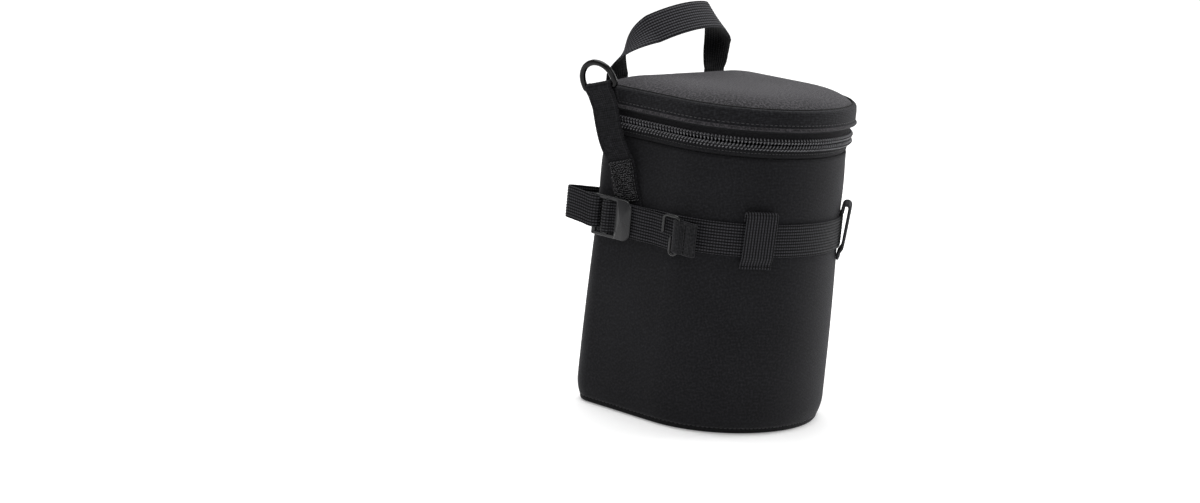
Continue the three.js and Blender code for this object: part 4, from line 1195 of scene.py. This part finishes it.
def lid_crown():
    """The puffed top: a rolled rim, then rings drawn in to the middle that rise as a flat dome with
    slow waves, and below them rings that rise as the crown."""
    along = plan_steps(520)
    rolled = arc(SEAM_OUT - 0.8 - LID_ROLL, LID_SEAM - LID_ROLL, LID_ROLL, 0, 52, 8)
    rim = around(along, rolled[:, :1], rolled[:, 1:])
    edge = rim[-1]
    shares = 1 - 0.996 * np.linspace(0.05, 1, 36) ** 1.4
    flat = shrunk(edge, shares, 0)
    spread = shares[:, None]
    wave = 0.25 * ripple(flat[..., 0], flat[..., 1], seed=33, size=55) * (1 - spread**6)
    above = shrunk(edge, shares, edge[0, 2] + DOME * (1 - spread**DOME_POWER) + wave)
    few = shares[::-3]
    below = shrunk(edge, few, LID_SEAM - 1.7 + LID_CROWN * (1 - few[:, None] ** 4))
    rows = np.concatenate([below, rim, above])
    crown = grid("lid_crown", rows, flat_uv(rows))
    # The top's cloth is coloured lighter than the body's: painted light from above
    fit(crown, LID_CLOTH_PAINTED_LIGHT, "lid", "fabric", "lid_top")


def lid_inside():
    """The lid's foam, and its lining: a ceiling with a skirt round it behind the tape."""
    pad_top = LID_SEAM - 2.0
    pad_low = pad_top - LID_FOAM
    pad = filled_disc("lid_pad", -2.5, pad_low, pad_top, edge=1.2, crown=LID_CROWN)
    fit(pad, FOAM_SKIN, "lid", "foam", "lid_padding")
    top = pad_low - CLEAR
    ceiling = filled_disc("lid_ceiling", -2.7, top - 1.0, top, edge=0.4)
    near = TAPE_ABOVE_OUT - TAPE_THICK - CLEAR
    section = layer_section(near, near - LINING, LID_EDGE + 0.6, top)
    outline = soft_outline(section, radius=0.35, step=1.0)
    skirt = hoop("lid_skirt", outline, count=240)
    fit(join("lid_lining_cloth", [ceiling, skirt]), LINING_CLOTH, "lid", "lining", "lid_lining")


lid_side()
lid_crown()
lid_inside()


# Handle


def turned(start, along, across, axis, angle, length, count):
    """A band rolled about a fixed axis at an even rate: each direction is its part along the axis
    plus its other part turned by the angle so far, and the place is the sum of these directions."""
    turn = np.linspace(0, angle, count)[:, None]

    def spun(v):
        """A direction turned about the axis."""
        kept = axis * np.dot(v, axis)
        rest = v - kept
        return kept + np.cos(turn) * rest + np.sin(turn) * np.cross(axis, rest)

    kept = axis * np.dot(along, axis)
    rest = along - kept
    travel = turn * kept + np.sin(turn) * rest + (1 - np.cos(turn)) * np.cross(axis, rest)
    return start + travel * length / angle, spun(along), spun(across)


def handle_line():
    """Centre line and width direction of the handle's left half: the sewn end and a short rise, a
    roll over a slanting fold, then half of the arch."""
    fold_axis = np.array([math.sin(FOLD_SLANT), 0, math.cos(FOLD_SLANT)])
    fold_turn = math.acos(-(math.tan(FOLD_SLANT) ** 2))
    fold_length = FOLD_RADIUS * fold_turn / math.sin(FOLD_SLANT)
    level = np.ones(24)
    rise_z = np.linspace(HANDLE_LOW, HANDLE_FOLD, len(level))
    rise = np.stack([-HANDLE_X * level, HANDLE_Y * level, rise_z], -1)
    sideways = -RIGHT
    fold = turned(rise[-1], UP, sideways, fold_axis, fold_turn, fold_length, 70)
    end, along, across = (part[-1] for part in fold)
    arch_turn = math.acos(along[0])
    arch_axis = unit(np.cross(along, RIGHT))
    radius = -end[0] / math.sin(arch_turn)
    arch = turned(end, along, across, arch_axis, arch_turn, radius * arch_turn, 50)
    centres = np.vstack([rise, fold[0][1:], arch[0][1:]])
    widths = np.vstack([np.broadcast_to(sideways, rise.shape), fold[2][1:], arch[2][1:]])
    return centres, widths


def lean_in(points):
    """The soft right half leans to the middle, more towards the top, and its fold is pressed flat
    towards the sewn end."""
    lean_low = 8.0
    lean_top = 9.7
    flattened = 0.41
    x, y, z = np.moveaxis(points, -1, 0)
    part = smooth_rise(x, start=0, reach=45) * smooth_rise(z, start=207, reach=40)
    lean = part * (lean_low + lean_top * smooth_rise(z, start=215, reach=32))
    pressed = flattened * smooth_rise(x, start=34, reach=25) * smooth_rise(z, start=203, reach=10)
    return np.stack([x - lean, y + pressed * (HANDLE_Y - y), z], -1)


def handle():
    """The carry handle in one length: the left half and its mirror image."""
    centres, widths = handle_line()
    mirror = np.array([-1.0, 1, 1])
    whole = np.vstack([centres, (centres * mirror)[-2::-1]])
    across = np.vstack([widths, (widths * mirror)[-2::-1]])
    # Its inner face gets the shifted uv, which the material paints almost black: painted shade
    made = band("handle_webbing_shaded_inside", whole, across, webbing_outline(), lean_in, SHADED_FACE_UV)
    made.data.materials.append(HANDLE_WEBBING_SHADED_INSIDE)
    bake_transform(made)
    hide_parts("handle", "handle_end_left", "handle_end_right")


handle()


# Belt strap, buckle, clip and loops

BAND_WALL = wall_at(BAND_HEIGHT - WEB / 2)
BAR_WRAP = math.hypot(BAR_WIDE, BAR_THICK) / 2 + CLEAR + WEB_HALF
BAR_OUT = SECOND + BAR_WRAP


def on_left_wall(local):
    """Local points, X to the front, Y up and Z outwards, on the left wall at the strap's height."""
    x, y, z = np.moveaxis(local, -1, 0)
    return np.stack([-HALF_WIDTH - BAND_WALL - z, -x, BAND_HEIGHT + y], -1)


def left_wall(pairs):
    """Points on the left wall at the strap's height, from pairs of y and distance out."""
    y, out = np.asarray(pairs, float).T
    return on_left_wall(np.stack([-y, np.zeros(len(y)), out], -1))


def tail_drop(y):
    """The tail sinks evenly in front of the buckle, by TAIL_DROP at its end."""
    return TAIL_DROP * np.maximum(0, (BUCKLE_LIP_FRONT - y) / (BUCKLE_LIP_FRONT - TAIL_END))


def strap_line():
    """The strap's route in two parts: the tail's flap with its hem, and the rest: over the centre bar
    and back under, round the body, the slack back corner, and the sewn loop on the rear bar."""
    ramp_end = 17.23
    ramp_start = ramp_end - 4 * LAYER
    bump = CLIP_OUT + CLIP_WIRE + CLEAR + WEB_HALF
    hem = LAYER / 2
    hem_start = TAIL_END + HEM_LENGTH
    hem_out = THIRD + 0.9
    turned_end = arc(TAIL_END + hem, SECOND + hem, hem, 90, 270, 9)
    flap = left_wall([
        [CLIP_Y + 3.3, THIRD + 0.5], [CLIP_Y + 1.7, bump - 0.5], [CLIP_Y, bump],
        [CLIP_Y - 1.7, bump - 0.5], [hem_start + 0.6, THIRD],
        [hem_start, hem_out], [TAIL_END + 2.5, hem_out], *turned_end,
    ])
    slot_edge = BUCKLE_Y - BAR_WRAP
    front = left_wall([
        *turned_end[5:], [ramp_start, SECOND], [ramp_end, THIRD],
        [slot_edge - 1.2, THIRD], [slot_edge - 0.2, THIRD + 0.5],
    ])
    flap[:, 2] -= tail_drop(flap[:, 1])
    front[:, 2] -= tail_drop(front[:, 1])
    wrap = left_wall(arc(BUCKLE_Y, BAR_OUT, BAR_WRAP, 180, -90, 18)[1:])
    under = left_wall([[ramp_end, SECOND], [ramp_start, FIRST]])

    side_begin = HALF_WIDTH - BACK_CORNER + np.pi / 2 * BACK_CORNER
    body_begin = side_begin + BACK_DEPTH - BACK_CORNER - ramp_start + 2
    along = np.linspace(body_begin, PLAN_LENGTH + 36, 260)
    body = around(along, BAND_WALL + FIRST, BAND_HEIGHT)
    back_y = BACK_DEPTH + BAND_WALL + FIRST
    out_x = -HALF_WIDTH - BAND_WALL - BAR_OUT - BAR_WRAP
    slack = np.array([
        [-45, back_y + 2.1, BAND_HEIGHT + 0.8],
        [-54, back_y + 5.2, BAND_HEIGHT + 1.7],
        [-70, back_y + 9.3, BAND_HEIGHT + 3.4],
        [out_x + 2.5, back_y + 9.6, BAND_HEIGHT + 3.9],
        [out_x - 0.3, back_y + 7.2, BAND_HEIGHT + 4.0],
        [out_x - 0.6, back_y + 1.0, BAND_HEIGHT + 3.6],
        [out_x - 0.5, back_y - 6.2, BAND_HEIGHT + 2.9],
        [out_x, REAR_BAR_Y + BAR_WRAP, BAND_HEIGHT + LOOP_LIFT],
    ])
    loop = arc(REAR_BAR_Y, BAR_OUT, BAR_WRAP, 90, 270, 12)
    end_out = BAR_OUT + BAR_WRAP - LAYER - CLEAR
    end = [[REAR_BAR_Y + 4.6, BAR_OUT - BAR_WRAP / 2], [REAR_BAR_Y + 7.7, end_out]]
    sewn = left_wall(np.vstack([loop, end])) + [0, 0, LOOP_LIFT]
    return flap, np.vstack([front, wrap, under, body, slack, sewn])


def strap():
    """The belt strap as a band of ribbed webbing, and its folded tail, which shows the flat side."""
    flap, rest = strap_line()
    made = band("belt_strap_webbing", even_path(rest, 0.9, soften=1.1), UP, webbing_outline())
    fit(made, WEBBING, "pouch", "webbing", "belt_strap")
    flat_side = webbing_outline(edge=0.15, depth=0.3)
    tail = band("belt_strap_tail", even_path(flap, 0.4, soften=0.4), UP, flat_side)
    fit(tail, TAIL_WEBBING, "pouch", "webbing", "belt_strap")


def buckle():
    """Ladder-lock buckle: two rails, a rear bar and a centre bar with round edges, and the wide lip
    with its crowned face and round front corners."""
    half = WEB / 2 + CLEAR
    edge = half + 2.3
    bottom = BAR_OUT - BAR_THICK / 2
    top = BAR_OUT + BAR_THICK / 2
    rear = -REAR_BAR_Y - BAR_WIDE / 2
    lip_rear = -BUCKLE_Y + 7.6
    rail_end = lip_rear + 3.5
    pieces = []
    for name, low, high in (("lower", -edge, -half), ("upper", half, edge)):
        corners = rectangle(rear, rail_end, low, high)
        outline = soft_outline(corners, radius=[1.1, 0.5, 0.5, 1.1], step=1.5)
        pieces.append(plate(f"buckle_rail_{name}", outline, bottom, top, edge=0.6, place=on_left_wall))
    for name, middle in (("rear", -REAR_BAR_Y), ("centre", -BUCKLE_Y)):
        span = edge - 0.6
        corners = rectangle(middle - BAR_WIDE / 2, middle + BAR_WIDE / 2, -span, span)
        outline = soft_outline(corners, radius=0.5, step=1.5)
        pieces.append(plate(f"buckle_bar_{name}", outline, bottom, top, edge=0.7, place=on_left_wall))
    corners = rectangle(lip_rear, -BUCKLE_LIP_FRONT, -edge, edge)
    outline = soft_outline(corners, radius=[0.8, 5.5, 5.5, 0.8], step=1.0, count=9)
    base = THIRD + WEB_HALF + CLEAR
    lip = plate("buckle_lip", outline, base, base + 2.1, edge=1.1, place=on_left_wall, crown=1.5)
    pieces.append(lip)
    fit(join("ladder_lock_buckle", pieces), ACETAL, "pouch", "plastic", "buckle")


def clip():
    """Wire clip in the tail's fold: a leg with two arms that end in staggered prongs."""
    reach = WEB / 2 + CLIP_WIRE + 2 * CLEAR
    bend = 2.3
    leg = -CLIP_Y
    far = leg - 11.6
    near = leg - 5.4
    prong_end = 1.6
    path = np.vstack([
        [[far, prong_end]],
        arc(far + bend, reach - bend, bend, 180, 90, 8),
        arc(leg - bend, reach - bend, bend, 90, 0, 8),
        arc(leg - bend, bend - reach, bend, 0, -90, 8),
        arc(near + bend, bend - reach, bend, 270, 180, 8),
        [[near, -prong_end]],
    ])
    level = on_left_wall(raised(even_path(path, 0.4, soften=0.3), CLIP_OUT))
    centres = level - UP * tail_drop(CLIP_Y)
    made = tube("keeper_clip_wire", centres, CLIP_WIRE, -RIGHT)
    fit(made, CLIP_STEEL, "keeper_clip", "black_metal", "keeper_clip")


def loop_place(angle):
    """Place, normal and sideways direction on the ground of a front loop, by its angle."""
    place, normal = stations(plan_at_angle(angle))
    return place, normal, np.array([-normal[1], normal[0]])


def front_loops():
    """The two loops over the strap: flat foot, bulge over the strap, round top turned back in."""
    turn = (LOOP_OUT - FIRST) / 2
    profile = even_path(np.vstack([
        [[FIRST, LOOP_FOOT], [FIRST, LOOP_FOOT + 3.2], [SECOND + CLEAR, LOOP_FOOT + 7.0]],
        [[LOOP_OUT - 1.2, BAND_HEIGHT]],
        arc(LOOP_OUT - turn, LOOP_TOP - turn, turn, 0, 180, 14),
        [[FIRST, BAND_HEIGHT + WEB / 2 + 1.6]],
    ]), 0.4, soften=0.6)
    out = profile[:, :1] + wall_at(LOOP_FOOT)
    for side, angle in FRONT_LOOPS.items():
        place, normal, across = loop_place(angle)
        centres = raised(place + normal * out, profile[:, 1])
        outline = webbing_outline(thick=LOOP_THICK)
        made = band(f"strap_loop_{side}", centres, raised(across, 0), outline)
        fit(made, LOOP_WEBBING, "pouch", "webbing", f"front_loop_{side}")


def belt_loop():
    """The wide loop on the back, sewn flat at both ends and standing off the wall between."""
    out = SECOND + 6
    stand = out - FIRST
    low = BELT_LOOP_LOW + BELT_LOOP_SEWN
    high = BELT_LOOP_HIGH - BELT_LOOP_SEWN
    profile = even_path([
        [FIRST, BELT_LOOP_LOW], [FIRST, low], [out, low + stand],
        [out, high - stand], [FIRST, high], [FIRST, BELT_LOOP_HIGH],
    ], 0.8, soften=2.0)
    wall = BACK_DEPTH + wall_at(BELT_LOOP_LOW)
    centres = np.stack([np.zeros(len(profile)), wall + profile[:, 0], profile[:, 1]], -1)
    outline = webbing_outline(width=BELT_LOOP_WIDTH, ribs=2 * WEB_RIBS)
    made = band("belt_loop_webbing", centres, RIGHT, outline)
    fit(made, WEBBING, "pouch", "webbing", "belt_loop")


strap()
buckle()
clip()
front_loops()
belt_loop()


# Side tab, ring and hook tape

SLOPE = RIM_INSET / RIM
TAB_UP = unit(np.array([SLOPE * math.cos(LEAN), math.sin(LEAN), math.cos(LEAN)]))
TAB_ACROSS = np.cross(TAB_UP, unit(np.array([-1, 0, SLOPE])))
TAB_OUT = np.cross(TAB_ACROSS, TAB_UP)
TAB_PLACE = np.array([-HALF_WIDTH - wall_at(TAB_Z), TAB_Y, TAB_Z])


def on_tab(local):
    """Local points, X across the tab, Y up along the wall and Z outwards, in the part's frame."""
    return TAB_PLACE + local @ np.stack([TAB_ACROSS, TAB_UP, TAB_OUT])


def ring_bar():
    """Distance out of the ring's straight bar: the tab bends out along a circle, then runs straight."""
    bend_radius = 40.0
    bend_low = 26.0
    bend_up = bend_low + bend_radius * math.sin(FLARE)
    bend_out = FIRST + bend_radius * (1 - math.cos(FLARE))
    straight = (RING_UP - bend_up) / math.cos(FLARE)
    return bend_out + straight * math.sin(FLARE) - LAYER / 2 / math.cos(FLARE)


def at_ring(up, out):
    """Height and distance out of a point measured from the ring's bar along the flared tab."""
    turned_up = RING_UP + up * math.cos(FLARE) - out * math.sin(FLARE)
    return turned_up, ring_bar() + up * math.sin(FLARE) + out * math.cos(FLARE)


def tab_path():
    """The tab's middle line as heights and distances out: flat below the strap, one easy slope up to
    the ring, and back on itself round the ring's bar."""
    wrap = RING_WIRE + CLEAR + WEB_HALF
    throat = 2.6 * RING_WIRE
    fold = np.vstack([
        [[-TAB_FOLD, LAYER / 2], [-throat, 0.6 * wrap]],
        arc(0, 0, wrap, 105, -105, 20),
        [[-throat, -0.6 * wrap], [-TAB_FOLD, -LAYER / 2]],
    ])
    turned_fold = np.stack(at_ring(fold[:, 0], fold[:, 1]), -1)
    return even_path(np.vstack([[[-13, FIRST], [1.0, FIRST]], turned_fold]), 0.5, soften=0.8)


def bow(up):
    """How far the hanging tab bows to the back, as a half sine between strap and ring, and how its
    stiffer patch holds it to the front, as a bell."""
    held = 3.4
    held_up = 22.0
    held_spread = 11.0
    stiff = held * np.exp(-(((up - held_up) / held_spread) ** 2))
    return stiff - TAB_BOW * np.sin(np.pi * np.clip(up / RING_UP, 0, 1))


def on_slope(local):
    """Local points on the face of the tab: the height above the flat becomes the height above the
    tab's slope, and the bow moves them sideways."""
    across, up, out = np.moveaxis(local, -1, 0)
    slope_up, slope_out = at_ring(-TAB_FOLD, LAYER / 2)
    lift = np.interp(up, [1.0, slope_up], [0, slope_out - FIRST])
    return on_tab(np.stack([across + bow(up), up, out + lift], -1))


def on_ring(local):
    """Local points of the ring, X across, Y up from its bar and Z outwards."""
    up, out = at_ring(local[..., 1], local[..., 2])
    return on_tab(np.stack([local[..., 0], up, out], -1))


def ring_tab():
    """The tab's webbing folded over the ring's bar, and the ring: a half circle on a straight bar."""
    up, out = tab_path().T
    centres = on_tab(np.stack([bow(up), up, out], -1))
    made = band("ring_tab_webbing", centres, TAB_ACROSS, webbing_outline(edge=0.3, depth=0.25))
    fit(made, FLAT_WEBBING, "pouch", "webbing", "side_tab")
    ring_rise = 4.0
    coat = 0.25
    half = WEB / 2 + CLEAR + RING_WIRE
    line = np.vstack([
        arc(0, ring_rise, half, 0, 180, 60),
        arc(RING_WIRE - half, RING_WIRE, RING_WIRE, 180, 270, 10),
        arc(half - RING_WIRE, RING_WIRE, RING_WIRE, 270, 360, 10),
    ])
    line = even_path(np.vstack([line, line[:1]]), 0.8)[:-1]
    normal = on_ring(UP) - on_ring(0 * UP)
    ring = tube("dee_ring", on_ring(raised(line, 0)), RING_WIRE + coat, normal, sides=18, closed=True)
    fit(ring, BLACK_WIRE, "d_ring", "black_metal", "d_ring")


def hook_patch():
    """Hook tape on the tab: a thin plate, and rows of curled hooks. A hook is a bent stem of five
    rings with four sides, whose lean comes from a seed. The filament is drawn thicker than real
    so that it shows."""
    corners = rectangle(PATCH_LEFT, PATCH_RIGHT, PATCH_LOW, PATCH_HIGH)
    outline = soft_outline(corners, radius=0.8, step=1.2)
    backing = plate("hook_backing", outline, PATCH_BASE, PATCH_BASE + 0.7, edge=0.3, place=on_slope)
    fit(backing, HOOK_CLOTH, "pouch", "hook", "hook_patch")
    spacing = 1.25
    thick = 0.2
    rng = np.random.default_rng(5)
    columns = np.arange(PATCH_LEFT + 1, PATCH_RIGHT - 0.6, spacing)
    rows = np.arange(PATCH_LOW + 1, PATCH_HIGH - 0.6, spacing)
    spot = np.stack(np.meshgrid(columns, rows), -1).reshape(-1, 2)
    spot = spot + rng.uniform(-0.3, 0.3, spot.shape)
    lean = rng.uniform(-0.6, 0.6, spot.shape)
    bend = np.array([0.0, 0.05, 0.3, 0.8, 1.1])
    rise = np.array([0.0, 0.5, 0.9, 0.95, 0.6])
    stem = raised(spot[:, None] + lean[:, None] * bend[:, None], PATCH_BASE + 0.5 + rise)
    ring = 2 * np.pi * np.arange(4) / 4
    offset = thick * np.stack([np.cos(ring), np.sin(ring), 0.5 * np.cos(ring)], -1)
    bristle = many_beads("hook_bristle", on_slope(stem[:, :, None] + offset))
    # The hooks' grey to pale colour is painted glint on their curls
    fit(bristle, HOOK_NYLON_PAINTED_GLINT, "pouch", "hook")


ring_tab()
hook_patch()


# Stitching

STITCH_LIFT = WEB_HALF + 0.05
ROW_HALF = 9.2


def stitches(name, rows, length, gap, thread):
    """Rows of thread stitches. Each row is points and outward normals; a stitch is a low bead: six
    sides round, five rings along, thin at both ends and pressed half into the cloth."""
    ring = 2 * np.pi * np.arange(6) / 6
    share = np.array([-1, -0.8, 0, 0.8, 1])[:, None, None]
    swell = np.array([0.15, 0.8, 1.0, 0.8, 0.15])[:, None, None]
    dip = np.array([-0.5, -0.12, 0.1, -0.12, -0.5])[:, None, None]
    forth = share * length / 2
    aside = swell * np.cos(ring)[:, None] * thread / 2
    proud = swell * np.sin(ring)[:, None] * thread / 2 + dip * thread
    reach = 0.3
    beads = []
    for points, normals in rows:
        run = lengths(points)
        count = max(1, int(run[-1] / (length + gap)))
        at = (np.arange(count) + 0.5) * run[-1] / count
        centre = read_off(at, run, points)[:, None, None]
        along = unit(read_off(at + reach, run, points) - read_off(at - reach, run, points))
        normal = unit(read_off(at, run, normals))
        side = unit(np.cross(normal, along))
        bead = centre + along[:, None, None] * forth + side[:, None, None] * aside
        beads.append(bead + normal[:, None, None] * proud)
    return many_beads(name, np.vstack(beads))


def plan_row(first, last, out, z):
    """A row of points along the plan at one height, a millimetre apart, with outward normals."""
    along = np.linspace(first, last, int(last - first))
    return around(along, out, z), raised(stations(along)[1], 0)


def tab_row(points, lift):
    """A row of stitches across or along the tab, from local points."""
    local = even_path(raised(np.asarray(points, float), lift), 0.5)
    return on_slope(local), np.broadcast_to(TAB_OUT, local.shape)


def straight_row(start, end, normal):
    """A straight row of points for stitching, with one outward normal."""
    points = even_path([start, end], 0.5)
    return points, np.broadcast_to(normal, points.shape)


def back_box(left, right, low, high, y):
    """Four rows round a rectangle that faces the back, with its two diagonals."""
    corners = np.insert(rectangle(left, right, low, high), 1, y, 1)
    pairs = [(0, 1), (1, 2), (2, 3), (3, 0), (0, 2), (1, 3)]
    return [straight_row(corners[a], corners[b], BACK) for a, b in pairs]


def seam_stitches():
    """Thread along the lid's edge, round the base and along the lower tape."""
    rows = [plan_row(0, PLAN_LENGTH, LID_OUT + 0.42, LID_EDGE + 3.5)]
    thread = stitches("lid_edge_stitches", rows, length=2.0, gap=0.9, thread=0.42)
    fit(thread, THREAD, "lid", "fabric")
    rows = [plan_row(0, PLAN_LENGTH, BASE_SEAM + 1.7, 3.6)]
    thread = stitches("base_stitches", rows, length=2.0, gap=0.8, thread=0.34)
    fit(thread, THREAD, "pouch", "tape")
    first = HINGE_HALF + 2
    rows = [plan_row(first, PLAN_LENGTH - first, TAPE_OUT + 0.05, RIM + 3.2)]
    thread = stitches("tape_stitches", rows, length=1.6, gap=0.6, thread=0.36)
    fit(thread, THREAD, "pouch", "tape")


def patch_stitches():
    """Thread round the hook tape, half a millimetre inside its edge."""
    inset = 0.5
    left = PATCH_LEFT + inset
    corners = rectangle(left, PATCH_RIGHT - inset, PATCH_LOW + 0.6, PATCH_HIGH - inset)
    rows = [tab_row(np.vstack([corners, corners[:1]]), PATCH_BASE + 0.75)]
    thread = stitches("patch_stitches", rows, length=1.8, gap=0.7, thread=0.4)
    fit(thread, THREAD, "pouch", "hook")


def dark_stitches():
    """Waxed thread across the tab below its fold, the feet of the front loops and the tail's hem."""
    fold_up = at_ring(-TAB_FOLD + 2, LAYER / 2)[0]
    rows = [tab_row([[-9, fold_up], [9, fold_up]], FIRST + STITCH_LIFT)]
    for angle in FRONT_LOOPS.values():
        place, normal, across = loop_place(angle)
        foot = place + normal * (wall_at(LOOP_FOOT) + FIRST + LOOP_THICK / 2)
        ends = raised(foot + np.array([[-ROW_HALF], [ROW_HALF]]) * across, LOOP_FOOT + 1.8)
        rows.append(straight_row(*ends, raised(normal, 0)))
    hem = left_wall([[TAIL_END + HEM_LENGTH - 0.9, THIRD + 1.7]])[0]
    hem[2] -= tail_drop(hem[1])
    rows.append(straight_row(hem - ROW_HALF * UP, hem + ROW_HALF * UP, -RIGHT))
    thread = stitches("dark_stitches", rows, length=1.7, gap=0.5, thread=0.7)
    fit(thread, DARK_THREAD_AND_SEAM_SHADOW, "pouch", "webbing")


def box_stitches():
    """Boxes of thread with crossed diagonals on the ends of the belt loop and of the handle."""
    wall = BACK_DEPTH + wall_at(BELT_LOOP_LOW) + FIRST + STITCH_LIFT
    half = BELT_LOOP_WIDTH / 2 - 2
    rows = back_box(-half, half, BELT_LOOP_LOW + 2, BELT_LOOP_LOW + 9.5, wall)
    rows += back_box(-half, half, BELT_LOOP_HIGH - 9.5, BELT_LOOP_HIGH - 2, wall)
    thread = stitches("belt_loop_stitches", rows, length=1.9, gap=0.7, thread=0.42)
    fit(thread, THREAD, "pouch", "webbing")
    behind = HANDLE_Y + STITCH_LIFT
    rows = []
    for middle in (-HANDLE_X, HANDLE_X):
        rows += back_box(middle - 8, middle + 8, HANDLE_LOW + 1.5, HANDLE_LOW + 9, behind)
    thread = stitches("handle_end_stitches", rows, length=1.9, gap=0.7, thread=0.42)
    fit(thread, THREAD, "lid", "webbing")


seam_stitches()
patch_stitches()
dark_stitches()
box_stitches()
